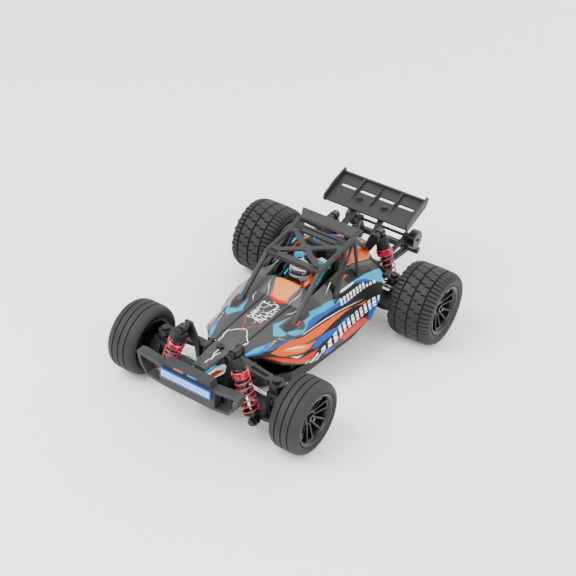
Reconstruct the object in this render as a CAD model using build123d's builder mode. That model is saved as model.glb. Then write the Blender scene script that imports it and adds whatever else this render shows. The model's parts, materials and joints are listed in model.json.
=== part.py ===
"""Four-wheel-drive radio-control desert buggy, 1:16 scale.

Row frame: millimetres, +Z up, origin on the ground under the middle of the whole car.
The car faces -Y, its left side is +X.  Every left-hand piece is modelled and then mirrored.
"""

import os
from math import atan2, cos, degrees, hypot, pi, radians, sin, sqrt
from typing import NamedTuple

from build123d import *

# ---------------------------------------------------------------- driving dimensions
FRONT_AXLE_Y = -107.0
REAR_AXLE_Y = 78.0
DIFF_Z = 36.0            # height of both differentials and of the centre drive shaft
FLOOR_Z = 12.0           # ground clearance under the tub
FLOOR_T = 2.5
DECK_Z = FLOOR_Z + FLOOR_T

HINGE_PIN_R = 1.5
RUNNING = 0.05           # radial clearance of a pin that turns in its hole
BALL_STUD_R = 1.4
EYE_HOLE_R = 2.5         # an open pivot: the stud has play in the eye
EYE_R = 4.2
SHAFT_R = 1.5
SHELL_T = 1.2            # vacuum-formed body thickness

SHOCK_OFFSET = 16.0      # damper plane, measured along Y from the axle
SHOCK_TUBE_R = 4.2
SHOCK_CAP_R = 6.0
SHOCK_COLLAR_R = 7.3
SHOCK_ROD_R = 1.5
ROD_CLEAR = 0.1
CAP_END, COLLAR_END, TUBE_END = 14.5, 19.5, 36.0      # distances from the top eye
SPRING_R = 6.3           # centreline radius
SPRING_WIRE_R = 0.65
SPRING_TURNS = 8
TOWER_NEAR, TOWER_FAR = 6.5, 9.0                      # faces of a tower plate, from the axle

ARM_HALF = 9.5           # half length of a lower arm's inner barrel along Y
KINGPIN_X = 60.0
STEER_LEVER = 12.0       # kingpin to ball stud, along Y
RACK_Z = 44.0
RACK_X = 18.0            # ball studs of the rack; as far from the kingpin as an arm is long

SPOKES = 6
RIM_R = 22.0
BARREL_R = 20.0

POST_R = 2.5             # body posts on the gearboxes
FRONT_POST_Z, REAR_POST_Z = 55.4, 64.1
FRONT_SCREW_Z, REAR_SCREW_Z = 58.3, 68.0              # seats of the body screws' heads

GEAR_MODULE = 0.8
SPUR_TEETH, PINION_TEETH = 30, 12
GEAR_CENTRES = GEAR_MODULE * (SPUR_TEETH + PINION_TEETH) / 2
GEAR_Y0, GEAR_Y1 = 50.0, 55.0
BACKLASH = 0.15
MOTOR_Z = 29.0
MOTOR_X = sqrt(GEAR_CENTRES ** 2 - (DIFF_Z - MOTOR_Z) ** 2)
MOTOR_R = 12.2
MESH_ANGLE = atan2(MOTOR_Z - DIFF_Z, MOTOR_X)         # direction from the shaft to the motor

COCKPIT_X, COCKPIT_Y0, COCKPIT_Y1, COCKPIT_Z = 21.0, -13.0, 36.0, 50.5
COCKPIT_TOP, COCKPIT_FLARE = 90.0, 7.0                # the well is this much wider at that height
TAIL_HALF = 13.2         # the tail runs through the gap of the rear tower

BUMPER_FRONT, LED_DEPTH, BUMPER_DEPTH = -152.5, 3.0, 8.0
REAR_END = 152.5
WING_HOLE_X, WING_HOLE_Y, WING_HOLE_Z = 13.2, 117.7, 83.0
WING_BOSS_Z = WING_HOLE_Z - 2.9
WING_RISE = 20.6         # degrees
WHEELIE_Y, WHEELIE_Z, WHEELIE_R, WHEELIE_X = 143.5, 47.0, 9.0, 33.4
WHEELIE_PIN_R = 1.4


class Axle(NamedTuple):
    """Everything that differs between the front and the rear running gear, left side."""

    name: str
    y: float
    out: float               # +1 where the dampers stand behind the axle, -1 in front
    tyre_r: float
    tyre_w: float
    wheel_x: float
    lower_in: tuple          # (x, z) of each pivot
    lower_out: tuple
    upper_in: tuple
    upper_out: tuple
    joint_in: tuple
    joint_out: tuple
    shock_top: tuple
    shock_low: tuple
    gear_y: tuple            # ends of the gearbox along Y


FRONT = Axle("front", FRONT_AXLE_Y, -1, 31.0, 28.0, 80.6, (17, 22), (59, 17), (13, 54), (55, 49),
             (18, DIFF_Z), (60, 31), (25.5, 74), (46, 17.5), (-113.5, -100.3))
REAR = Axle("rear", REAR_AXLE_Y, 1, 34.0, 42.0, 83.6, (17, 21), (55, 19), (13, 48.5), (51, 46.5),
            (18, DIFF_Z), (56, 34), (24, 74), (44, 19), (71.3, 84.5))
AXLES = (FRONT, REAR)


# ---------------------------------------------------------------- helpers
def save(shape, name):
    """Labels one piece and writes its STEP file."""
    shape.label = name
    export_step(shape, f"parts/{name}.step")
    return shape


def save_pair(shape, axle_name, name):
    """Writes the left piece and its mirror image on the right."""
    prefix = f"{axle_name}_" if axle_name else ""
    save(shape, f"{prefix}left_{name}")
    save(mirror(shape, about=Plane.YZ), f"{prefix}right_{name}")


def across(x, z, y=0.0):
    """Upright sketch plane that faces -Y: sketch x is world X and sketch y is world Z."""
    return Plane(origin=(x, y, z), x_dir=(1, 0, 0), z_dir=(0, -1, 0))


def rod_between(start, end, radius, mode=Mode.ADD):
    """Cylinder from one point to another, inside the current BuildPart."""
    start, end = Vector(*start), Vector(*end)
    with Locations(Plane(origin=start, z_dir=end - start)):
        Cylinder(radius, (end - start).length, align=(Align.CENTER, Align.CENTER, Align.MIN), mode=mode)


def barrel_along_y(x, z, y0, y1, radius, mode=Mode.ADD):
    rod_between((x, y0, z), (x, y1, z), radius, mode)


def barrel_along_x(y, z, x0, x1, radius, mode=Mode.ADD):
    rod_between((x0, y, z), (x1, y, z), radius, mode)


def barrel_along_z(x, y, z0, z1, radius, mode=Mode.ADD):
    rod_between((x, y, z0), (x, y, z1), radius, mode)


def block(x0, x1, y0, y1, z0, z1, mode=Mode.ADD):
    """Axis-aligned box between two corners, inside the current BuildPart."""
    with Locations(((x0 + x1) / 2, (y0 + y1) / 2, (z0 + z1) / 2)):
        Box(x1 - x0, y1 - y0, z1 - z0, mode=mode)


def bar(start, end, width, depth, side=(1, 0, 0), mode=Mode.ADD):
    """Rectangular bar from start to end, its width towards side, inside the current BuildPart."""
    start, end, side = Vector(*start), Vector(*end), Vector(*side)
    along = (end - start).normalized()
    with Locations(Plane(origin=start, x_dir=side - along * side.dot(along), z_dir=along)):
        Box(width, depth, (end - start).length, align=(Align.CENTER, Align.CENTER, Align.MIN), mode=mode)


def turned(axle, points):
    """Solid of revolution about the wheel's spin axis, from (offset along X, radius) points."""
    centre = (axle.wheel_x, axle.y, axle.tyre_r)
    with BuildPart() as made:
        with BuildSketch(Plane(origin=centre, x_dir=(1, 0, 0), z_dir=(0, -1, 0))):
            with BuildLine():
                Polyline(*points, close=True)
            make_face()
        revolve(axis=Axis(centre, (1, 0, 0)))
    return made.part


def slope(axle):
    """Angle of the arms below horizontal, in degrees."""
    return degrees(atan2(axle.lower_in[1] - axle.lower_out[1], axle.lower_out[0] - axle.lower_in[0]))


def arm_plane(axle, pivot):
    """Sketch plane along an arm: x runs outwards from its inner pivot, y is world Y."""
    tilt = radians(slope(axle))
    along, normal = (cos(tilt), 0, -sin(tilt)), (sin(tilt), 0, cos(tilt))
    return Plane(origin=(pivot[0], axle.y, pivot[1]), x_dir=along, z_dir=normal)


def arm_length(axle):
    return hypot(axle.lower_out[0] - axle.lower_in[0], axle.lower_out[1] - axle.lower_in[1])


# ---------------------------------------------------------------- suspension
def lower_arm(axle):
    """A-shaped arm: long barrel on the inner pin, fork round the hub, screw that holds the damper."""
    length = arm_length(axle)
    shock_x = (axle.shock_low[0] - axle.lower_in[0]) / cos(radians(slope(axle)))
    thickness = 4.0
    fork_half, hub_half = 8.4, 5.2
    face_y = axle.y + axle.out * (ARM_HALF + 1.5)
    eye_y = axle.y + axle.out * (SHOCK_OFFSET + 3.0)
    with BuildPart() as arm:
        with BuildSketch(arm_plane(axle, axle.lower_in).offset(-thickness / 2)):
            with BuildLine():
                Polyline((0, -ARM_HALF), (4, -ARM_HALF), (shock_x - 6, -ARM_HALF - 1.5),
                         (shock_x + 5, -ARM_HALF - 1.5), (length, -fork_half), (length, fork_half),
                         (shock_x + 5, ARM_HALF + 1.5), (shock_x - 6, ARM_HALF + 1.5), (4, ARM_HALF),
                         (0, ARM_HALF), close=True)
            make_face()
            with Locations((12, 0)):
                Trapezoid(11, 13, 98, rotation=90, mode=Mode.SUBTRACT)
        extrude(amount=thickness)
        barrel_along_y(*axle.lower_in, axle.y - ARM_HALF, axle.y + ARM_HALF, 3.4)
        barrel_along_y(*axle.lower_out, axle.y - fork_half, axle.y + fork_half, 3.4)
        block(axle.lower_out[0] - 6.0, axle.lower_out[0] + 5.0, axle.y - hub_half, axle.y + hub_half,
              axle.lower_out[1] - 6, axle.lower_out[1] + 6, mode=Mode.SUBTRACT)
        barrel_along_y(*axle.lower_in, axle.y - ARM_HALF, axle.y + ARM_HALF, HINGE_PIN_R + RUNNING,
                       mode=Mode.SUBTRACT)
        barrel_along_y(*axle.lower_out, axle.y - fork_half, axle.y + fork_half, HINGE_PIN_R,
                       mode=Mode.SUBTRACT)
        lug_y = sorted((axle.y + axle.out * ARM_HALF, face_y))
        barrel_along_y(*axle.shock_low, *lug_y, 3.2)
        screw_y = sorted((face_y, eye_y))
        barrel_along_y(*axle.shock_low, *screw_y, HINGE_PIN_R)
        head_y = sorted((eye_y, eye_y + axle.out * 1.8))
        barrel_along_y(*axle.shock_low, *head_y, 2.9)
    with BuildPart() as pin:
        barrel_along_y(*axle.lower_out, axle.y - fork_half - 0.8, axle.y + fork_half + 0.8, HINGE_PIN_R)
    return Compound([arm.part.solid(), pin.part.solid()])


def upper_arm(axle):
    """Flat link with an inner barrel and a wide eye that drops over the hub's ball stud."""
    length = arm_length(axle)
    half = 4.0
    with BuildPart() as arm:
        with BuildSketch(arm_plane(axle, axle.upper_in).offset(-1.6)):
            with BuildLine():
                Polyline((0, -half), (4, -half), (10, -half - 1.5), (length - 6, -half),
                         (length - 6, half), (10, half + 1.5), (4, half), (0, half), close=True)
            make_face()
            with Locations((length, 0)):
                Circle(6.2)
                Circle(EYE_HOLE_R, mode=Mode.SUBTRACT)
            with Locations((length - 17, 0)):
                SlotOverall(16, 3.4, mode=Mode.SUBTRACT)
        extrude(amount=3.2)
        barrel_along_y(*axle.upper_in, axle.y - half, axle.y + half, 2.9)
        barrel_along_y(*axle.upper_in, axle.y - half, axle.y + half, HINGE_PIN_R + RUNNING,
                       mode=Mode.SUBTRACT)
    return Compound([arm.part.solid()])


def upper_stud(axle, base_z):
    """Ball stud that stands on top of a hub, inside the current BuildPart."""
    x, z = axle.upper_out
    barrel_along_z(x, axle.y, base_z, z + 2.6, BALL_STUD_R)
    barrel_along_z(x, axle.y, z + 2.6, z + 4.0, 3.4)


def front_hub_carrier(axle):
    """C-shaped carrier: holds the steering knuckle between two plates on kingpins."""
    x, z = axle.lower_out
    back, front = 50.0, 64.0
    low, high = axle.joint_out[1] - 10.5, axle.joint_out[1] + 11.0
    plate = 3.0
    half = 6.5
    with BuildPart() as hub:
        block(back, front, axle.y - half, axle.y + half, low, low + plate)
        block(back, front, axle.y - half, axle.y + half, high - plate, high)
        block(back, back + 3.2, axle.y - half, axle.y + half, low, high)
        barrel_along_x(axle.y, axle.joint_out[1], back - 1, back + 5, 5.2, mode=Mode.SUBTRACT)
        fillet(hub.edges().filter_by(Axis.Z).group_by(Axis.X)[-1], 3.0)
        block(x - 3.0, x + 3.0, axle.y - 4.8, axle.y + 4.8, z, low)
        barrel_along_y(x, z, axle.y - 4.8, axle.y + 4.8, 3.2)
        block(x - 8.5, x - 0.5, axle.y - 4, axle.y + 4, high, high + 3)
        barrel_along_y(x, z, axle.y - 4.8, axle.y + 4.8, HINGE_PIN_R + RUNNING, mode=Mode.SUBTRACT)
        upper_stud(axle, high + 3)
        barrel_along_z(KINGPIN_X, axle.y, low, low + plate, HINGE_PIN_R, mode=Mode.SUBTRACT)
        barrel_along_z(KINGPIN_X, axle.y, high - plate, high, HINGE_PIN_R, mode=Mode.SUBTRACT)
    pins = []
    for z0, z1, head_z in ((low, axle.joint_out[1] - 5.8, low - 1.0), (axle.joint_out[1] + 5.8, high, high)):
        with BuildPart() as pin:
            barrel_along_z(KINGPIN_X, axle.y, z0, z1, HINGE_PIN_R)
            barrel_along_z(KINGPIN_X, axle.y, head_z, head_z + 1.0, 2.6)
        pins.append(pin.part.solid())
    return Compound([hub.part.solid(), *pins])


def bearing_ring(axle, x0, outer):
    with BuildPart() as ring:
        barrel_along_x(axle.y, axle.joint_out[1], x0, x0 + 2.5, outer)
        barrel_along_x(axle.y, axle.joint_out[1], x0, x0 + 2.5, 2.0 + RUNNING, mode=Mode.SUBTRACT)
    return ring.part.solid()


def steering_knuckle(axle):
    """Barrel round the stub axle with a lever towards the rear for the steering link."""
    z = axle.joint_out[1]
    x0, x1 = KINGPIN_X - 3.0, KINGPIN_X + 7.0
    stud_y = axle.y + STEER_LEVER
    lever_top = RACK_Z - 7.8
    with BuildPart() as knuckle:
        barrel_along_x(axle.y, z, x0, x1, 7.0)
        barrel_along_z(KINGPIN_X, stud_y, lever_top - 2.4, lever_top, 3.2)
        block(KINGPIN_X - 3.0, KINGPIN_X + 3.0, axle.y + 4.5, stud_y, lever_top - 2.4, lever_top)
        barrel_along_x(axle.y, z, x0, x1, 5.6, mode=Mode.SUBTRACT)
        barrel_along_z(KINGPIN_X, stud_y, lever_top, RACK_Z - 3.0, BALL_STUD_R)
        barrel_along_z(KINGPIN_X, axle.y, z - 8, z + 8, HINGE_PIN_R + RUNNING, mode=Mode.SUBTRACT)
    return Compound([knuckle.part.solid(), bearing_ring(axle, x1 - 2.5, 5.6)])


def rear_hub_carrier(axle):
    """Upright with a bearing barrel; hangs on the lower pin and carries the upper ball stud."""
    x, z = axle.lower_out
    axle_z = axle.joint_out[1]
    x0, x1 = axle.joint_out[0] - 4.0, axle.joint_out[0] + 7.0
    with BuildPart() as hub:
        barrel_along_x(axle.y, axle_z, x0, x1, 7.6)
        block(x - 3, x + 3, axle.y - 4.8, axle.y + 4.8, z, axle_z - 5.8)
        barrel_along_y(x, z, axle.y - 4.8, axle.y + 4.8, 3.2)
        block(x - 7.5, x + 0.5, axle.y - 4, axle.y + 4, axle_z + 5.8, axle_z + 9.5)
        barrel_along_x(axle.y, axle_z, x0, x1, 5.6, mode=Mode.SUBTRACT)
        barrel_along_y(x, z, axle.y - 4.8, axle.y + 4.8, HINGE_PIN_R + RUNNING, mode=Mode.SUBTRACT)
        upper_stud(axle, axle_z + 9.5)
    return Compound([hub.part.solid(), bearing_ring(axle, x1 - 2.5, 5.6)])


def drive_shaft(axle):
    """Dog-bone: a steel rod with a ball and a cross pin at each end."""
    (x0, z0), (x1, z1) = axle.joint_in, axle.joint_out
    start, end = (x0, axle.y, z0), (x1, axle.y, z1)
    with BuildPart() as shaft:
        rod_between(start, end, SHAFT_R)
        with Locations(start, end):
            Sphere(2.3)
        for centre in (x0, z0), (x1, z1):
            barrel_along_y(*centre, axle.y - 2.8, axle.y + 2.8, 0.8)
    return Compound([shaft.part.solid()])


def shock_axis(axle):
    """Start, direction and length of a damper, from its top eye to its lower eye."""
    y = axle.y + axle.out * SHOCK_OFFSET
    top = Vector(axle.shock_top[0], y, axle.shock_top[1])
    low = Vector(axle.shock_low[0], y, axle.shock_low[1])
    return top, (low - top).normalized(), (low - top).length


def along_shock(axle, d0, d1, radius, mode=Mode.ADD):
    """Cylinder on the damper's axis between two distances from the top eye, inside the current BuildPart."""
    top, direction, _ = shock_axis(axle)
    rod_between(top + direction * d0, top + direction * d1, radius, mode)


def shock_body(axle):
    """Cap with the top eye, oil tube, and the threaded collar that seats the spring."""
    top, _, _ = shock_axis(axle)
    with BuildPart() as cap:
        barrel_along_y(top.X, top.Z, top.Y - 3, top.Y + 3, EYE_R)
        along_shock(axle, 3.0, CAP_END, SHOCK_CAP_R)
        barrel_along_y(top.X, top.Z, top.Y - 3, top.Y + 3, HINGE_PIN_R + RUNNING, mode=Mode.SUBTRACT)
    with BuildPart() as tube:
        along_shock(axle, CAP_END, TUBE_END, SHOCK_TUBE_R)
        along_shock(axle, CAP_END + 1.5, TUBE_END, SHOCK_ROD_R + ROD_CLEAR, mode=Mode.SUBTRACT)
    with BuildPart() as collar:
        along_shock(axle, CAP_END, COLLAR_END, SHOCK_COLLAR_R)
        along_shock(axle, CAP_END, COLLAR_END, SHOCK_TUBE_R, mode=Mode.SUBTRACT)
    return Compound([cap.part.solid(), tube.part.solid(), collar.part.solid()])


def shock_rod(axle):
    """Piston rod with the lower spring seat and the open eye at the arm."""
    _, _, length = shock_axis(axle)
    x, z = axle.shock_low
    y = axle.y + axle.out * SHOCK_OFFSET
    with BuildPart() as rod:
        along_shock(axle, TUBE_END - 9, length - 3.4, SHOCK_ROD_R)
        along_shock(axle, length - 9.0, length - 7.0, SHOCK_COLLAR_R - 0.4)
        along_shock(axle, length - 9.0, length - 2.5, 2.4)
        barrel_along_y(x, z, y - 2.5, y + 2.5, EYE_R)
        barrel_along_y(x, z, y - 2.5, y + 2.5, EYE_HOLE_R, mode=Mode.SUBTRACT)
    return Compound([rod.part.solid()])


def shock_spring(axle):
    """Coil between the collar and the lower seat."""
    top, direction, length = shock_axis(axle)
    height = length - 9.0 - COLLAR_END - 2 * SPRING_WIRE_R - 0.1
    with BuildPart() as spring:
        with BuildLine():
            coil = Helix(pitch=height / SPRING_TURNS, height=height, radius=SPRING_R)
        with BuildSketch(Plane(origin=coil @ 0, z_dir=coil % 0)):
            Circle(SPRING_WIRE_R)
        sweep(is_frenet=True)
    start = top + direction * (COLLAR_END + SPRING_WIRE_R + 0.05)
    seat = Plane(origin=start, x_dir=(0, 1, 0), z_dir=direction)
    return Compound([spring.part.moved(seat.location).solid()])


# ---------------------------------------------------------------- wheels
def rim(axle):
    """One-piece rim with spoke windows, and the hex drive, stub axle, cup and nut that turn with it."""
    half = axle.tyre_w / 2 - 1.5
    web0, web1 = half - 9.0, half - 5.5
    inner_lip = RIM_R - 0.8
    ring = turned(axle, [(-half, 18.4), (-half, inner_lip), (1.4 - half, inner_lip), (1.4 - half, BARREL_R),
                         (half - 1.4, BARREL_R), (half - 1.4, RIM_R), (half, RIM_R), (half, 19.4),
                         (half - 3, 18.4)])
    axle_z = axle.tyre_r
    web_x = axle.wheel_x + web0
    with BuildPart() as wheel:
        add(ring)
        barrel_along_x(axle.y, axle_z, web_x, axle.wheel_x + web1, 19.0)
        barrel_along_x(axle.y, axle_z, web_x - 4.0, web_x, 8.5)
        with BuildSketch(Plane(origin=(web_x - 1, axle.y, axle_z), x_dir=(0, 1, 0), z_dir=(1, 0, 0))):
            with PolarLocations(12.3, SPOKES):
                Trapezoid(5.0, 7.4, 104, rotation=90, align=(Align.CENTER, Align.CENTER))
        extrude(amount=6, mode=Mode.SUBTRACT)
        barrel_along_x(axle.y, axle_z, web_x - 5, web_x + 6, 2.0, mode=Mode.SUBTRACT)
    cup_x = axle.joint_out[0] - 2.5
    with BuildPart() as stub:
        barrel_along_x(axle.y, axle_z, cup_x, cup_x + 6.5, 5.0)
        barrel_along_x(axle.y, axle_z, cup_x, cup_x + 5.3, 3.1, mode=Mode.SUBTRACT)
        barrel_along_x(axle.y, axle_z, cup_x + 6.5, axle.wheel_x + web1 + 4.0, 2.0)
    hex_x = axle.joint_out[0] + 7.6
    with BuildPart() as hexagon:
        with BuildSketch(Plane(origin=(hex_x, axle.y, axle_z), x_dir=(0, 1, 0), z_dir=(1, 0, 0))):
            RegularPolygon(6.0, 6)
            Circle(2.0, mode=Mode.SUBTRACT)
        extrude(amount=web_x - 4.0 - hex_x)
    with BuildPart() as nut:
        seat = (axle.wheel_x + web1, axle.y, axle_z)
        with BuildSketch(Plane(origin=seat, x_dir=(0, 1, 0), z_dir=(1, 0, 0))):
            RegularPolygon(3.6, 6)
            Circle(2.0, mode=Mode.SUBTRACT)
        extrude(amount=3.2)
    return Compound([wheel.part.solid(), stub.part.solid(), hexagon.part.solid(), nut.part.solid()])


def tyre(axle):
    """Hollow tyre; the front one has three grooves round its tread, the rear one square shoulders."""
    w, r = axle.tyre_w / 2, axle.tyre_r
    bead = w - 2.9
    if axle.name == "front":
        tread = [(-w, 26.0), (1.4 - w, 28.6), (3.8 - w, 30.2), (-7.0, 30.7)]
        for groove in (-6.4, 0.0, 6.4):
            tread += [(groove - 0.6, r), (groove - 0.3, r - 1.1), (groove + 0.3, r - 1.1), (groove + 0.6, r)]
        tread += [(7.0, 30.7), (w - 3.8, 30.2), (w - 1.4, 28.6), (w, 26.0)]
    else:
        shoulder = [(w, 26.5), (w - 0.8, 30.5), (w - 4.0, 33.2), (w - 7.0, r)]
        tread = [(-x, z) for x, z in shoulder] + shoulder[::-1]
    outline = [(-bead, BARREL_R), (-bead, 22.2), (-bead - 0.6, 22.8), *tread, (bead + 0.6, 22.8),
               (bead, 22.2), (bead, BARREL_R),
               (bead - 2.6, BARREL_R), (bead - 2.2, 23.0), (w - 3.2, 26.5), (w - 5.0, r - 3.6),
               (5.0 - w, r - 3.6), (3.2 - w, 26.5), (2.2 - bead, 23.0), (2.6 - bead, BARREL_R)]
    return Compound([turned(axle, outline).solid()])


# ---------------------------------------------------------------- chassis and drive train
def tub_outline(inset):
    """Plan view of the tub, left half from front to rear, mirrored to the right."""
    half = [(14, -127), (14, -92), (24, -80), (38, -60), (42, -40), (46, 20), (44, 48), (26, 60), (14, 66),
            (14, 96)]
    moved = [(x - inset, y) for x, y in half]
    moved[0] = (moved[0][0], moved[0][1] + inset)
    moved[-1] = (moved[-1][0], moved[-1][1] - inset)
    return moved + [(-x, y) for x, y in reversed(moved)]


def chassis_tub():
    """Moulded tub: floor, side walls, kick-up skid ends and the lugs that hold the lower hinge pins."""
    with BuildPart() as tub:
        with BuildSketch(Plane.XY.offset(FLOOR_Z)):
            with BuildLine():
                Polyline(*tub_outline(0), close=True)
            make_face()
        extrude(amount=10)
        with BuildSketch(Plane.XY.offset(DECK_Z)):
            with BuildLine():
                Polyline(*tub_outline(2), close=True)
            make_face()
        extrude(amount=20, mode=Mode.SUBTRACT)
        for axle in AXLES:
            block(-24, 24, axle.y - 21, axle.y + 18.5, DECK_Z, 40, mode=Mode.SUBTRACT)
            x, z = axle.lower_in
            for y0 in (axle.y - ARM_HALF - 3.3, axle.y + ARM_HALF + 0.3):
                for side in (-1, 1):
                    block(side * x - 3.6, side * x + 3.6, y0, y0 + 3, FLOOR_Z, z + 3.4)
                    barrel_along_y(side * x, z, y0 - 1, y0 + 4, HINGE_PIN_R, mode=Mode.SUBTRACT)
            for x0, x1 in ((14.01, 24), (-24, -14.01)):
                block(x0, x1, axle.y - ARM_HALF - 0.3, axle.y + ARM_HALF + 0.3, FLOOR_Z, DECK_Z,
                      mode=Mode.SUBTRACT)
    return Compound([tub.part.solid()])


def gearbox(axle, cover_z, post_z):
    """Housing round a differential, lugs for the upper pins, a body post, and the two outdrive cups."""
    y0, y1 = axle.gear_y
    x_in, z_up = axle.upper_in
    wall = 1.3
    with BuildPart() as box:
        block(-12, 12, y0, y1, DECK_Z, cover_z)
        chamfer(box.edges().filter_by(Axis.Y).group_by(Axis.Z)[-1], 3.0)
        barrel_along_z(0, axle.y, cover_z, post_z, POST_R)
        block(-9.5, 9.5, y0 + wall, y1 - wall, 26, cover_z - 3, mode=Mode.SUBTRACT)
        barrel_along_x(axle.y, DIFF_Z, -13, 13, 4.6, mode=Mode.SUBTRACT)
        barrel_along_y(0, DIFF_Z, *sorted((axle.y, axle.y - axle.out * 9)), 4.0, mode=Mode.SUBTRACT)
        for side in (-1, 1):
            for lug_y in (axle.y - 6.3, axle.y + 4.3):
                block(*sorted((side * 8.5, side * (x_in + 3))), lug_y, lug_y + 2, cover_z - 6, cover_z)
                block(side * x_in - 3, side * x_in + 3, lug_y, lug_y + 2, cover_z - 6, z_up + 3)
                barrel_along_y(side * x_in, z_up, lug_y - 1, lug_y + 3, HINGE_PIN_R, mode=Mode.SUBTRACT)
    pieces = [box.part.solid()]
    with BuildPart() as case:
        barrel_along_x(axle.y, DIFF_Z, -7.5, 7.5, 5.0)
    pieces.append(case.part.solid())
    for side in (-1, 1):
        with BuildPart() as cup:
            barrel_along_x(axle.y, DIFF_Z, *sorted((side * 7.5, side * 20.5)), 4.5)
            barrel_along_x(axle.y, DIFF_Z, *sorted((side * 14.5, side * 20.5)), 3.2, mode=Mode.SUBTRACT)
        pieces.append(cup.part.solid())
    return Compound(pieces)


def tower_outline(axle):
    """Half outline of the U-shaped tower plate, left side, clockwise from the bottom centre."""
    top_x, top_z = axle.shock_top
    gap = 13.6 if axle.name == "front" else 14.0
    foot = 31
    return [(0, foot), (11.5, foot), (17, 44), (19, 56), (top_x + 4, top_z - 3), (top_x + 3.2, top_z + 2.6),
            (top_x - 3.4, top_z + 2.6), (gap + 1.5, 62), (gap, 46), (gap - 4, 40), (0, 40)]


def shock_tower(axle):
    """Upright plate that carries both dampers' top eyes on screws; the body runs through its gap."""
    y0, y1 = sorted((axle.y + axle.out * TOWER_NEAR, axle.y + axle.out * TOWER_FAR))
    far = axle.y + axle.out * TOWER_FAR
    top_x, top_z = axle.shock_top
    half = tower_outline(axle)
    with BuildPart() as tower:
        with BuildSketch(across(0, 0, y1)):
            with BuildLine():
                Polyline(*half, *[(-x, z) for x, z in reversed(half[1:-1])], close=True)
            make_face()
            with Locations((top_x, top_z), (-top_x, top_z)):
                Circle(HINGE_PIN_R, mode=Mode.SUBTRACT)
        extrude(amount=y1 - y0)
        if axle.name == "rear":
            for side in (-1, 1):
                bar((side * 17, y1 - 1.5, 61), (side * WING_HOLE_X, WING_HOLE_Y, WING_BOSS_Z - 3), 5.0, 4.0)
                block(side * WING_HOLE_X - 4, side * WING_HOLE_X + 4, WING_HOLE_Y - 4, WING_HOLE_Y + 4,
                      WING_BOSS_Z - 5, WING_BOSS_Z)
                barrel_along_z(side * WING_HOLE_X, WING_HOLE_Y, WING_BOSS_Z - 4, WING_BOSS_Z, HINGE_PIN_R,
                               mode=Mode.SUBTRACT)
    pieces = [tower.part.solid()]
    eye_far = axle.y + axle.out * (SHOCK_OFFSET + 3.0)
    for side in (-1, 1):
        with BuildPart() as screw:
            barrel_along_y(side * top_x, top_z, axle.y + axle.out * TOWER_NEAR, eye_far, HINGE_PIN_R)
            barrel_along_y(side * top_x, top_z, eye_far, eye_far + axle.out * 1.6, 2.9)
            barrel_along_y(side * top_x, top_z, far, axle.y + axle.out * (SHOCK_OFFSET - 3.3), 3.0)
        pieces.append(screw.part.solid())
    return Compound(pieces)


def involute(ratio):
    """Polar angle of an involute where its radius is ratio times the base circle's."""
    flank = sqrt(max(ratio ** 2 - 1, 0))
    return flank - atan2(flank, 1)


def gear_outline(teeth, turn):
    """Corner points of a spur gear with involute flanks, thinned by the backlash."""
    pressure = radians(20)
    pitch_r = GEAR_MODULE * teeth / 2
    base_r = pitch_r * cos(pressure)
    tip_r, root_r = pitch_r + 0.9 * GEAR_MODULE, pitch_r - 1.2 * GEAR_MODULE
    half_pitch = (pi / 2 - BACKLASH / GEAR_MODULE) / teeth
    at_pitch = involute(pitch_r / base_r)
    radii = [root_r, max(base_r, root_r), pitch_r, (pitch_r + tip_r) / 2, tip_r]
    points = []
    for tooth in range(teeth):
        middle = turn + 2 * pi * tooth / teeth
        flank = [(r, half_pitch + at_pitch - involute(r / base_r)) for r in radii]
        for r, a in flank:
            points.append((r * cos(middle - a), r * sin(middle - a)))
        for r, a in reversed(flank):
            points.append((r * cos(middle + a), r * sin(middle + a)))
    return points


def gear(x, z, teeth, turn, bore):
    with BuildPart() as made:
        with BuildSketch(across(x, z, GEAR_Y1)):
            with BuildLine():
                Polyline(*gear_outline(teeth, turn), close=True)
            make_face()
            Circle(bore, mode=Mode.SUBTRACT)
        extrude(amount=GEAR_Y1 - GEAR_Y0)
    return made.part.solid()


def centre_drive_shaft():
    """Long steel shaft between the gearboxes with the spur gear on it and a bevel pinion at each end."""
    y0, y1 = FRONT.gear_y[1] - 1.1, REAR.gear_y[0] + 1.1
    with BuildPart() as shaft:
        barrel_along_y(0, DIFF_Z, y0, y1, SHAFT_R)
        barrel_along_y(0, DIFF_Z, y0, y0 + 1.0, 3.0)
        barrel_along_y(0, DIFF_Z, y1 - 1.0, y1, 3.0)
    return Compound([shaft.part.solid(), gear(0, DIFF_Z, SPUR_TEETH, MESH_ANGLE, SHAFT_R)])


def motor_pinion():
    """Pinion pressed on the end of the motor's shaft."""
    with BuildPart() as shaft:
        barrel_along_y(MOTOR_X, MOTOR_Z, GEAR_Y0 - 3, GEAR_Y1, 1.0)
    turn = MESH_ANGLE + pi + pi / PINION_TEETH
    return Compound([gear(MOTOR_X, MOTOR_Z, PINION_TEETH, turn, 1.0), shaft.part.solid()])


def motor():
    """Brushed can motor with its bolted plate, end bell and shaft stub."""
    with BuildPart() as can:
        barrel_along_y(MOTOR_X, MOTOR_Z, GEAR_Y0 - 36, GEAR_Y0 - 4, MOTOR_R)
        chamfer(can.edges().filter_by(GeomType.CIRCLE), 1.0)
        barrel_along_y(MOTOR_X, MOTOR_Z, GEAR_Y0 - 40, GEAR_Y0 - 36, 7.0)
    with BuildPart() as plate:
        block(MOTOR_X - 9, MOTOR_X + MOTOR_R + 2, GEAR_Y0 - 4, GEAR_Y0 - 2, DECK_Z, MOTOR_Z + MOTOR_R)
        barrel_along_y(0, DIFF_Z, GEAR_Y0 - 5, GEAR_Y0, 4.0, mode=Mode.SUBTRACT)
        barrel_along_y(MOTOR_X, MOTOR_Z, GEAR_Y0 - 5, GEAR_Y0, 3.2, mode=Mode.SUBTRACT)
    return Compound([can.part.solid(), plate.part.solid()])


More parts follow.
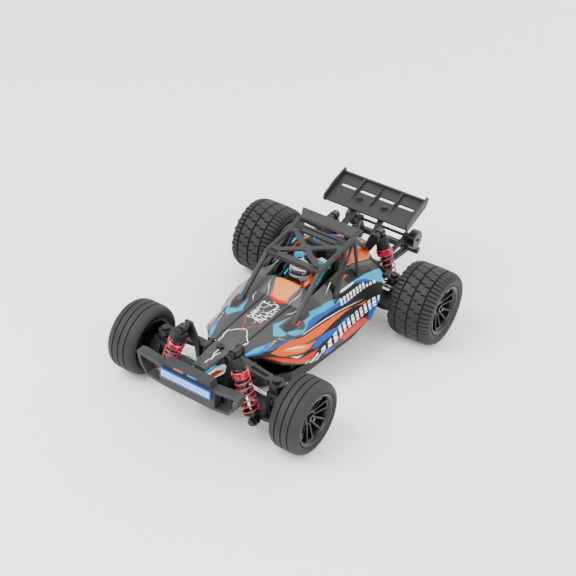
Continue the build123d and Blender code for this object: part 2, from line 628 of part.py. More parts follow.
def battery_pack():
    """Two-cell pack in a hard case with a strap across it."""
    with BuildPart() as pack:
        block(-37, -7, -50, 34, DECK_Z, DECK_Z + 19)
        fillet(pack.edges().filter_by(Axis.Y), 3.0)
    with BuildPart() as strap:
        block(-38.5, -5.5, -14, -4, DECK_Z, DECK_Z + 20.2)
        fillet(strap.edges().filter_by(Axis.Y).group_by(Axis.Z)[-1], 3.0)
        block(-37, -7, -15, -3, DECK_Z - 1, DECK_Z + 19, mode=Mode.SUBTRACT)
    hull = pack.part
    return Compound([hull.solid(), (strap.part - hull).solid()])


def radio_gear():
    """Steering servo, and the combined receiver and speed controller with its heat sink."""
    with BuildPart() as servo:
        block(-9, 11, -84, -66, DECK_Z, 32)
        block(-12, 14, -82, -80, 17, 30)
        barrel_along_y(7, 26, -86.5, -84, 2.6)
    with BuildPart() as controller:
        block(6, 36, -58, -24, DECK_Z, 30)
        block(9, 33, -54, -28, 30, 31.5)
        with Locations(*[(9 + 0.7 + 3.2 * n, -41, 33.5) for n in range(8)]):
            Box(1.2, 26, 4)
    return Compound([servo.part.solid(), controller.part.solid()])


def steering_rack():
    """Sliding centre link with a ball stud at each end, driven by the servo through its drop arm."""
    y = FRONT.y + STEER_LEVER
    with BuildPart() as rack:
        block(-RACK_X + 1, RACK_X - 1, y - 2, y + 2, RACK_Z - 1.5, RACK_Z + 1.5)
        barrel_along_y(-RACK_X, RACK_Z, y - 2.5, y + 2.5, 2.2)
        barrel_along_y(RACK_X, RACK_Z, y - 2.5, y + 2.5, 2.2)
        block(7.2, 11.7, y + 2, y + 4.5, 34, RACK_Z + 1.5)
    return Compound([rack.part.solid()])


def tie_rod():
    """Turnbuckle with a fork at the rack and a wide eye over the knuckle's stud, left side."""
    y = FRONT.y + STEER_LEVER
    drop = (FRONT.lower_in[1] - FRONT.lower_out[1]) / (FRONT.lower_out[0] - FRONT.lower_in[0])
    neck = Vector(RACK_X + 4.0, y, RACK_Z - drop * 4.0)
    end = Vector(KINGPIN_X, y, RACK_Z - drop * (KINGPIN_X - RACK_X))
    root = Vector(RACK_X, y, RACK_Z)
    fork = 4.0
    with BuildPart() as rod:
        rod_between(neck, end - (end - neck).normalized() * (EYE_HOLE_R + 0.4), 1.3)
        rod_between(neck + (end - neck) * 0.3, neck + (end - neck) * 0.5, 2.1)
        bar(neck - (0, fork + 0.7, 0), neck + (0, fork + 0.7, 0), 3, 2.4)
        for side in (-1, 1):
            bar(root + (0, side * fork, 0), neck + (0, side * fork, 0), 1.4, 3, side=(0, 1, 0))
        barrel_along_z(end.X, y, end.Z - 1.4, end.Z + 1.4, EYE_R - 0.2)
        barrel_along_z(end.X, y, end.Z - 3, end.Z + 3, EYE_HOLE_R, mode=Mode.SUBTRACT)
    return Compound([rod.part.solid()])


# ---------------------------------------------------------------- body, cage, driver
class Station(NamedTuple):
    """Half cross-section of the body: corner points from the centre line down to the lower edge."""

    y: float
    points: tuple


BODY = (
    Station(-134, ((0, 56), (5, 55.4), (7, 53.5), (8, 50), (7, 44))),
    Station(-118, ((0, 57.5), (7.5, 56.6), (9.5, 54.5), (11, 49), (10, 42))),
    Station(-97, ((0, 58), (13, 56), (17, 54), (20, 52), (19.5, 49.5))),
    Station(-88, ((0, 58), (15.5, 56.5), (22, 54.2), (27.5, 50.5), (26.5, 47.5))),
    Station(-76, ((0, 58.2), (18, 57), (29, 53.2), (38.5, 42.5), (36, 36.5))),
    Station(-60, ((0, 58.6), (21, 57.8), (32, 54.5), (44.5, 37.5), (42, 29))),
    Station(-43, ((0, 59), (22.5, 58.4), (34, 55.5), (49.5, 33), (46, 21))),
    Station(-28, ((0, 60), (22, 59.3), (35, 57), (53.5, 36), (49, 20))),
    Station(-14, ((0, 70.5), (15, 69.5), (36, 60.5), (56, 38), (51, 20))),
    Station(38, ((0, 80), (19, 79), (38, 62), (56, 38), (52, 20))),
    Station(46, ((0, 78.5), (19, 77.5), (38, 62), (55, 42), (52, 28))),
    Station(56, ((0, 75.5), (19, 74.4), (37, 62.8), (52, 50), (50, 44))),
    Station(65, ((0, 72), (19, 70.6), (34, 63.4), (45, 57), (44, 54.5))),
    Station(82, ((0, 65), (13, 64), (20, 60), (22, 58.5), (21, 56.5))),
    Station(98, ((0, 58.5), (10, 58), (12.5, 57), (14, 55.5), (13, 54))),
)


def body_loft(inset, drop):
    """Ruled solid through the stations, pulled in by inset and with its lower edge taken down by drop."""
    with BuildPart() as made:
        for station in BODY:
            end = {BODY[0].y: inset, BODY[-1].y: -inset}.get(station.y, 0)
            half = [(max(x - inset, 0), z - inset) for x, z in station.points]
            half[-1] = (half[-1][0], station.points[-1][1] - drop)
            with BuildSketch(across(0, 0, station.y + end)):
                with BuildLine():
                    Polyline(*half, *[(-x, z) for x, z in reversed(half[1:])], close=True)
                make_face()
        loft(ruled=True)
    return made.part


def cockpit_pocket(grow):
    """Tapered well for the driver, wider at the top."""
    middle = (COCKPIT_Y0 + COCKPIT_Y1) / 2
    length = COCKPIT_Y1 - COCKPIT_Y0 + 2 * grow
    with BuildPart() as pocket:
        with BuildSketch(Plane(origin=(0, middle, COCKPIT_Z - grow))):
            Rectangle(2 * COCKPIT_X + 2 * grow, length)
        with BuildSketch(Plane(origin=(0, middle, COCKPIT_TOP))):
            Rectangle(2 * (COCKPIT_X + COCKPIT_FLARE + grow), length)
        loft()
    return pocket.part


def body_shell():
    """Thin shell: outer form less an inset inner form, with the cockpit pressed in as a well."""
    shell = (body_loft(0, 0) - cockpit_pocket(0)) - (body_loft(SHELL_T, 12) - cockpit_pocket(SHELL_T))
    with BuildPart() as cuts:
        for side in (-1, 1):
            block(*sorted((side * 9.3, side * 40)), FRONT.y - 8, FRONT.y + 8.5, 30, 57.6)
            block(*sorted((side * TAIL_HALF, side * 60)), REAR.y + 5.5, 110, 30, 90)
        for axle in AXLES:
            barrel_along_z(0, axle.y, 50, 90, HINGE_PIN_R)
    return Compound([(shell - cuts.part).solids().sort_by(SortBy.VOLUME)[-1]])


def roll_cage():
    """Moulded cage: roof with an X brace, swept pillars on both sides and the rear visor plate."""
    front, rear, visor = (26, -7.5, 88), (26.5, 30, 92.5), (28, 42, 95)
    bars = (((27, -46, 54), front, 4, 3.4), (front, rear, 4, 3), (rear, visor, 4, 3),
            (front, (-rear[0], *rear[1:]), 4, 2.4), ((37, 2, 56), rear, 3.4, 4),
            ((38, 38, 56), visor, 3.4, 4), ((37, 2, 63), (28, 40, 93), 2.6, 3),
            (visor, (18, 82, 60), 3.4, 4))
    with BuildPart() as cage:
        for side in (1, -1):
            for (x0, y0, z0), (x1, y1, z1), width, depth in bars:
                bar((side * x0, y0, z0), (side * x1, y1, z1), width, depth)
            for x, y, z in (front, rear, visor):
                with Locations((side * x, y, z)):
                    Sphere(2.6)
        for x, y, z in (front, rear):
            bar((x, y, z), (-x, y, z), 3, 4, side=(0, 0, 1))
        visor_tilt = Plane(origin=(0, 46.5, 97.8), x_dir=(1, 0, 0), z_dir=(0, -0.52, 0.85))
        with BuildSketch(visor_tilt.offset(-1)):
            with BuildLine():
                Polyline((-27, -6.5), (27, -6.5), (31, 5.4), (-31, 5.4), close=True)
            make_face()
        extrude(amount=2.2)
    return Compound([(cage.part - body_loft(0, 0)).solids().sort_by(SortBy.VOLUME)[-1]])


def driver_figure():
    """Moulded cockpit insert: seat, bust of a driver in a helmet, arms and steering wheel."""
    floor = COCKPIT_Z + 0.1
    with BuildPart() as figure:
        block(-19, 19, -10, 33, floor, floor + 1.5)
        block(-15, 15, 14, 24, floor + 1, 74)
        block(-18.5, -15, 2, 24, floor + 1, 63)
        block(15, 18.5, 2, 24, floor + 1, 63)
        block(-11, 11, 4, 15, floor + 1, 62)
        fillet(figure.edges().filter_by(Axis.Z).group_by(Axis.Y)[0], 1.0)
        barrel_along_z(0, 5, 60, 68, 5.0)
        with Locations((0, 3, 73.5)):
            Sphere(9.6)
        for side in (-1, 1):
            rod_between((side * 11, 8, 59), (side * 11, -3, 56.5), 3.0)
            rod_between((side * 11, -3, 56.5), (side * 5, -7, 60), 2.6)
        rod_between((0, -11, 54), (0, -7, 60.5), 1.6)
        with Locations(Plane(origin=(0, -7, 60.5), z_dir=(0, 0.55, 0.83))):
            Torus(5.6, 1.1)
            Box(11, 2, 1.6)
    return Compound([figure.part.solids().sort_by(SortBy.VOLUME)[-1]])


# ---------------------------------------------------------------- bumpers, wing, wheelie bar
def front_bumper():
    """Tall bumper with hollow side wings, bolted to the nose of the tub."""
    face = BUMPER_FRONT + LED_DEPTH
    back = face + BUMPER_DEPTH
    with BuildPart() as bumper:
        with BuildSketch(across(0, 0, back)):
            with BuildLine():
                Polyline((-24, 35), (24, 35), (40, 37), (47, 46), (50, 57), (46, 58), (24, 55), (22, 60),
                         (-22, 60), (-24, 55), (-46, 58), (-50, 57), (-47, 46), (-40, 37), close=True)
            make_face()
            for side in (-1, 1):
                with BuildLine():
                    Polyline((side * 27, 38), (side * 39, 39.5), (side * 44.5, 47), (side * 46.5, 54.5),
                             (side * 27, 52), close=True)
                make_face(mode=Mode.SUBTRACT)
        extrude(amount=back - face)
        block(-20, 20, face + 2.5, back + 1, 37, 43, mode=Mode.SUBTRACT)
        bar((0, back - 1.5, 37), (0, -124, 15.6), 24, 2.4)
        block(-12, 12, -127.5, -119.5, DECK_Z, DECK_Z + 2.2)
        for side in (-1, 1):
            bar((side * 10.8, back - 2, 39), (side * 10.8, -124, 18.5), 2.4, 5)
    return Compound([bumper.part.solid()])


def led_light_bar():
    """Two rows of small lamps in a slim housing across the bumper."""
    with BuildPart() as lamp:
        block(-24.5, 24.5, BUMPER_FRONT + 0.6, BUMPER_FRONT + LED_DEPTH, 45.5, 54)
        with Locations(*[(-22.1 + 3.4 * n, BUMPER_FRONT + 0.7, z) for n in range(14) for z in (47.8, 51.7)]):
            Box(2.6, 1.4, 2.8)
    return Compound([lamp.part.solid()])


def rear_wing():
    """Sloping wing plate with four slots, three ribs, two bosses and an end plate on each side."""
    tilt = radians(WING_RISE)
    plane = Plane(origin=(0, WING_HOLE_Y, WING_HOLE_Z), x_dir=(1, 0, 0), z_dir=(0, -sin(tilt), cos(tilt)))
    with BuildPart() as wing:
        with BuildSketch(plane.offset(-1)):
            with Locations((0, 5.5)):
                Rectangle(85, 36)
            with Locations((-30, 9.5), (-10, 9.5), (10, 9.5), (30, 9.5)):
                SlotOverall(16, 3.4, mode=Mode.SUBTRACT)
        extrude(amount=2)
        with BuildSketch(plane.offset(0.9)):
            with Locations((0, 6.5), (-20, 15), (20, 15)):
                Rectangle(2, 17)
            with Locations((0, 22.5)):
                Rectangle(85, 2)
        extrude(amount=2.4)
        for side in (-1, 1):
            with BuildSketch(Plane(origin=(side * 43.3, 0, 0), x_dir=(0, 1, 0), z_dir=(1, 0, 0))):
                with BuildLine():
                    Polyline((104.5, 80.5), (106.5, 76.5), (138, 87.5), (141.5, 94), (140, 96.5), (121, 91),
                             (106, 84), close=True)
                make_face()
            extrude(amount=0.9, both=True)
            barrel_along_z(side * WING_HOLE_X, WING_HOLE_Y, WING_BOSS_Z, WING_HOLE_Z + 2, 3.6)
            barrel_along_z(side * WING_HOLE_X, WING_HOLE_Y, WING_BOSS_Z, WING_HOLE_Z + 2, HINGE_PIN_R,
                           mode=Mode.SUBTRACT)
    return Compound([wing.part.solid()])


def wheelie_bar():
    """Rear frame: two rails from the tub, a bumper bar across them and lugs for the wheelie axle."""
    with BuildPart() as frame:
        block(-13, 13, 86, 96, DECK_Z, DECK_Z + 2.5)
        block(-36, 36, REAR_END - 5, REAR_END, 29, 34)
        for side in (-1, 1):
            bar((side * 10.5, 91, 17), (side * 25, REAR_END - 3, 31.5), 5, 4.2)
            bar((side * 25, REAR_END - 4, 31), (side * 25, WHEELIE_Y, WHEELIE_Z), 4, 4.4)
            bar((side * 12, 95, 18), (side * 25, WHEELIE_Y - 1, WHEELIE_Z), 3.6, 3.6)
            barrel_along_x(WHEELIE_Y, WHEELIE_Z, side * 25 - 2.2, side * 25 + 2.2, 3.6)
        bar((-17, 118, 24), (17, 118, 24), 3.6, 4, side=(0, 1, 0))
        for side in (-1, 1):
            barrel_along_x(WHEELIE_Y, WHEELIE_Z, side * 25 - 4, side * 25 + 4, WHEELIE_PIN_R + RUNNING,
                           mode=Mode.SUBTRACT)
    return Compound([frame.part.solid()])


def wheelie_wheels():
    """Two small wheels pressed on one axle."""
    pieces = []
    with BuildPart() as axle:
        barrel_along_x(WHEELIE_Y, WHEELIE_Z, -WHEELIE_X - 5, WHEELIE_X + 5, WHEELIE_PIN_R)
    pieces.append(axle.part.solid())
    for side in (-1, 1):
        with BuildPart() as wheel:
            x0, x1 = side * WHEELIE_X - 4, side * WHEELIE_X + 4
            barrel_along_x(WHEELIE_Y, WHEELIE_Z, x0, x1, WHEELIE_R)
            fillet(wheel.edges().filter_by(GeomType.CIRCLE), 1.5)
            barrel_along_x(WHEELIE_Y, WHEELIE_Z, x0, x1, WHEELIE_PIN_R, mode=Mode.SUBTRACT)
        pieces.append(wheel.part.solid())
    return Compound(pieces)


def round_solid(start, end, radius):
    with BuildPart() as made:
        rod_between(start, end, radius)
    return made.part


def screws():
    """Inner hinge pins of all eight arms, body screws and wing screws."""
    pieces = []
    for axle in AXLES:
        for (x, z), reach in ((axle.lower_in, ARM_HALF + 3.3), (axle.upper_in, 6.3)):
            for side in (-1, 1):
                pieces.append(round_solid((side * x, axle.y - reach, z), (side * x, axle.y + reach, z),
                                          HINGE_PIN_R))
    for axle, post_z, top_z in ((FRONT, FRONT_POST_Z, FRONT_SCREW_Z), (REAR, REAR_POST_Z, REAR_SCREW_Z)):
        pieces.append(round_solid((0, axle.y, post_z), (0, axle.y, top_z + 1.5), HINGE_PIN_R)
                      + round_solid((0, axle.y, top_z), (0, axle.y, top_z + 1.5), 3.0))
    for side in (-1, 1):
        x, y = side * WING_HOLE_X, WING_HOLE_Y
        pieces.append(round_solid((x, y, WING_BOSS_Z - 4), (x, y, WING_HOLE_Z + 3.2), HINGE_PIN_R)
                      + round_solid((x, y, WING_HOLE_Z + 2), (x, y, WING_HOLE_Z + 3.2), 2.6))
    return Compound([piece.solid() for piece in pieces])


# ---------------------------------------------------------------- export
def main():
    os.makedirs("parts", exist_ok=True)
    for axle in AXLES:
        for make in (lower_arm, upper_arm, drive_shaft, shock_body, shock_spring, shock_rod, rim, tyre):
            save_pair(make(axle), axle.name, make.__name__)
        save(shock_tower(axle), f"{axle.name}_shock_tower")
    save_pair(front_hub_carrier(FRONT), "front", "hub_carrier")
    save_pair(rear_hub_carrier(REAR), "rear", "hub_carrier")
    save_pair(steering_knuckle(FRONT), "front", "knuckle")
    save(gearbox(FRONT, 46, FRONT_POST_Z), "front_gearbox")
    save(gearbox(REAR, 44, REAR_POST_Z), "rear_gearbox")
    save(tie_rod(), "tie_rod_left")
    save(mirror(tie_rod(), about=Plane.YZ), "tie_rod_right")
    for make in (chassis_tub, centre_drive_shaft, motor_pinion, motor, battery_pack, radio_gear,
                 steering_rack, body_shell, roll_cage, driver_figure, front_bumper, led_light_bar,
                 rear_wing, wheelie_bar, wheelie_wheels, screws):
        save(make(), make.__name__)


main()
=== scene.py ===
"""Radio-control desert buggy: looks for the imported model."""

import json
import math

import bmesh
import bpy
from mathutils import Matrix, Vector


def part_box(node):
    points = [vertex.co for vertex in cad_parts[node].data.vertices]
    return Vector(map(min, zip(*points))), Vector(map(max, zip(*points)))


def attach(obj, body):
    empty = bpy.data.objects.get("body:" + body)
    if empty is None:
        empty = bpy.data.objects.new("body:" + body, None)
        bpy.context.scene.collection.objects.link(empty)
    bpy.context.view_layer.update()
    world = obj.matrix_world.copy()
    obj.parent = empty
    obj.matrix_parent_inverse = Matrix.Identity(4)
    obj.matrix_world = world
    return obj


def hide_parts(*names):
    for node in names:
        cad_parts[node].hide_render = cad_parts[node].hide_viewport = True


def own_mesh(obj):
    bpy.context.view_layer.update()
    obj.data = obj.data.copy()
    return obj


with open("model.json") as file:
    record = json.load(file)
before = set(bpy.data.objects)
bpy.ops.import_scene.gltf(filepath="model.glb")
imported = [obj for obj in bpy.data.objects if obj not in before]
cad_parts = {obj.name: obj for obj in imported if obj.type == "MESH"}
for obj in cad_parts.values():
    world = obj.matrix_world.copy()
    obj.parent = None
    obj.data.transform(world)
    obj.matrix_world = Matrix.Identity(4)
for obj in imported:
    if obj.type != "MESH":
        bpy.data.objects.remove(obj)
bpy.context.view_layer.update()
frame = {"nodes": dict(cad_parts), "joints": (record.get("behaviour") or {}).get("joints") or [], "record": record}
NODES = frame["nodes"]
JOINTS = {joint["name"]: joint for joint in frame["joints"]}
MM = 0.001
CORNERS = ("front_left", "front_right", "rear_left", "rear_right")


# ---------------------------------------------------------------- node materials
class Shader:
    """A node material; each method adds a node and returns its output socket."""

    def __init__(self, name, **sockets):
        self.material = bpy.data.materials.new(name)
        self.material.use_nodes = True
        self.nodes = self.material.node_tree.nodes
        self.links = self.material.node_tree.links
        self.surface = self.nodes["Principled BSDF"]
        for key, value in sockets.items():
            self.set(key.replace("_", " "), value)

    def set(self, socket, value):
        target = self.surface.inputs[socket]
        if isinstance(value, bpy.types.NodeSocket):
            self.links.new(value, target)
        elif socket in ("Base Color", "Emission Color") and len(value) == 3:
            target.default_value = (*value, 1)
        else:
            target.default_value = value

    def feed(self, node, values):
        for index, value in enumerate(values):
            if isinstance(value, bpy.types.NodeSocket):
                self.links.new(value, node.inputs[index])
            elif value is not None:
                node.inputs[index].default_value = value

    def place(self):
        return self.nodes.new("ShaderNodeTexCoord").outputs["Object"]

    def math(self, operation, *values, clamp=False):
        node = self.nodes.new("ShaderNodeMath")
        node.operation = operation
        node.use_clamp = clamp
        self.feed(node, values)
        return node.outputs[0]

    def vector(self, operation, *values):
        node = self.nodes.new("ShaderNodeVectorMath")
        node.operation = operation
        self.feed(node, values)
        return node.outputs["Value" if operation in ("DOT_PRODUCT", "LENGTH") else "Vector"]

    def noise(self, scale, detail=3.0):
        node = self.nodes.new("ShaderNodeTexNoise")
        node.inputs["Scale"].default_value = scale
        node.inputs["Detail"].default_value = detail
        node.inputs["Roughness"].default_value = 0.55
        self.links.new(self.place(), node.inputs["Vector"])
        return node.outputs["Fac"]

    def ramp(self, value, low, high):
        """Maps 0..1 on to low..high."""
        node = self.nodes.new("ShaderNodeMix")
        node.data_type = "FLOAT"
        self.links.new(value, node.inputs["Factor"])
        node.inputs["A"].default_value = low
        node.inputs["B"].default_value = high
        return node.outputs["Result"]

    def mix(self, factor, low, high):
        """Mixes two colours; an end is a colour or a socket."""
        node = self.nodes.new("ShaderNodeMix")
        node.data_type = "RGBA"
        ends = (node.inputs[0], node.inputs[6], node.inputs[7])
        for socket, value in zip(ends, (factor, low, high)):
            if isinstance(value, bpy.types.NodeSocket):
                self.links.new(value, socket)
            else:
                socket.default_value = value if isinstance(value, (int, float)) else (*value[:3], 1)
        return node.outputs[2]

    def bump(self, height, strength, distance):
        node = self.nodes.new("ShaderNodeBump")
        node.inputs["Strength"].default_value = strength
        node.inputs["Distance"].default_value = distance
        self.links.new(height, node.inputs["Height"])
        self.links.new(node.outputs["Normal"], self.surface.inputs["Normal"])


def moulded(name, colour, rough=0.45, grain=900.0, strength=0.25):
    """Injection-moulded plastic: spark-eroded grain, faint colour drift and slightly polished patches."""
    s = Shader(name, Specular_IOR_Level=0.35)
    dark, light = [c * 0.8 for c in colour], [min(c * 1.25, 1) for c in colour]
    s.set("Base Color", s.mix(s.noise(60.0), dark, light))
    s.set("Roughness", s.ramp(s.noise(220.0), rough - 0.08, rough + 0.1))
    s.bump(s.noise(grain * 3, 2.0), strength, 0.0001)
    return s.material


def metal(name, colour, rough=0.25):
    """Turned or drawn metal with fine scratches."""
    s = Shader(name, Metallic=1.0)
    s.set("Base Color", s.mix(s.noise(150.0), [c * 0.85 for c in colour], colour))
    s.set("Roughness", s.ramp(s.noise(500.0), rough - 0.07, rough + 0.12))
    s.bump(s.noise(2500.0), 0.15, 0.00005)
    return s.material


def rubber(name):
    s = Shader(name, Specular_IOR_Level=0.25)
    dust = s.noise(45.0, 5.0)
    s.set("Base Color", s.mix(dust, (0.011, 0.011, 0.0115), (0.026, 0.026, 0.0265)))
    s.set("Roughness", s.ramp(s.noise(120.0), 0.55, 0.75))
    s.bump(s.noise(1500.0, 3.0), 0.35, 0.00015)
    return s.material


def lacquer(name, colour, rough=0.2, metallic=0.0):
    """Coloured coat with orange-peel ripple."""
    s = Shader(name, Metallic=metallic, Coat_Weight=0.5, Coat_Roughness=0.08)
    s.set("Base Color", s.mix(s.noise(90.0), [c * 0.85 for c in colour], colour))
    s.set("Roughness", s.ramp(s.noise(300.0), rough, rough + 0.12))
    s.bump(s.noise(700.0, 1.0), 0.08, 0.0001)
    return s.material


def lamp(name, colour, strength):
    s = Shader(name, Roughness=0.2)
    s.set("Base Color", (0.1, 0.25, 0.7))
    s.set("Emission Color", s.mix(s.noise(900.0), colour, (0.8, 0.95, 1.0)))
    s.set("Emission Strength", strength)
    return s.material


def link(name, near, far):
    """Bright steel rod with black moulded ends: steel where |x| lies between near and far, in metres."""
    s = Shader(name, Specular_IOR_Level=0.4)
    axis = s.nodes.new("ShaderNodeSeparateXYZ")
    s.links.new(s.place(), axis.inputs[0])
    reach = s.math("ABSOLUTE", axis.outputs["X"])
    steel = s.math("MULTIPLY", s.math("GREATER_THAN", reach, near), s.math("LESS_THAN", reach, far))
    bright = s.mix(s.noise(150.0), (0.7, 0.7, 0.71), (0.85, 0.85, 0.86))
    s.set("Base Color", s.mix(steel, (0.008, 0.008, 0.0085), bright))
    s.set("Metallic", steel)
    s.set("Roughness", s.ramp(s.noise(300.0), 0.25, 0.42))
    s.bump(s.noise(2500.0), 0.15, 0.00005)
    return s.material


TUB = moulded("tub_nylon", (0.007, 0.007, 0.0075), 0.5)
ARM = moulded("arm_nylon", (0.008, 0.008, 0.0085), 0.45)
CAGE = moulded("cage_nylon", (0.017, 0.017, 0.018), 0.55)
WING = moulded("wing_nylon", (0.016, 0.016, 0.017), 0.5)
DARK_GREY = moulded("belt_grey", (0.06, 0.06, 0.065), 0.6)
GLOSS_BLACK = moulded("rim_plastic", (0.004, 0.004, 0.0045), 0.32, 400.0, 0.08)
# Grey of the thin strips along the rim spokes: painted highlight.
SPOKE_HIGHLIGHT_GREY = moulded("rim_spoke_highlight", (0.03, 0.03, 0.031), 0.3, 400.0, 0.08)
RUBBER = rubber("tyre_rubber")
STEEL = metal("steel", (0.62, 0.62, 0.63))
BLACK_STEEL = metal("black_oxide", (0.05, 0.05, 0.052), 0.35)
DARK_STEEL = metal("dark_steel", (0.1, 0.1, 0.105), 0.3)
TIE_ROD = link("tie_rod", 0.025, 0.052)
SILVER = metal("aluminium", (0.86, 0.86, 0.87), 0.2)
CRIMSON = lacquer("anodised_red", (0.45, 0.005, 0.03), 0.22, 0.6)
SPRING_RED = lacquer("spring_red", (0.3, 0.008, 0.025), 0.25, 0.3)
BLUE_CASE = lacquer("battery_blue", (0.03, 0.1, 0.45))
ORANGE_PAINT = lacquer("orange_paint", (0.75, 0.06, 0.0))
CYAN_PAINT = lacquer("cyan_paint", (0.0, 0.4, 0.62))
HELMET = lacquer("helmet_silver", (0.5, 0.51, 0.54), 0.25, 0.5)
NAVY = lacquer("lamp_housing", (0.006, 0.03, 0.14), 0.3)
RUST = lacquer("insert_orange", (0.28, 0.07, 0.02), 0.4)
DUSK_BLUE = lacquer("insert_blue", (0.02, 0.1, 0.22), 0.4)
VISOR = lacquer("visor", (0.01, 0.01, 0.012), 0.05)
LENS = lamp("led_lens", (0.25, 0.55, 1.0), 1.3)
GLOW = lamp("led_glow", (0.01, 0.1, 0.7), 0.25)


# ---------------------------------------------------------------- painted body
BLACK, GREY, DARK = (0.001, 0.001, 0.001), (0.036, 0.036, 0.037), (0.006, 0.006, 0.006)
CYAN, BLUE = (0.0, 0.25, 0.42), (0.0, 0.045, 0.28)
ORANGE, RED, PEACH = (0.50, 0.062, 0.0), (0.42, 0.014, 0.0), (0.62, 0.155, 0.012)
WHITE = (0.80, 0.81, 0.84)
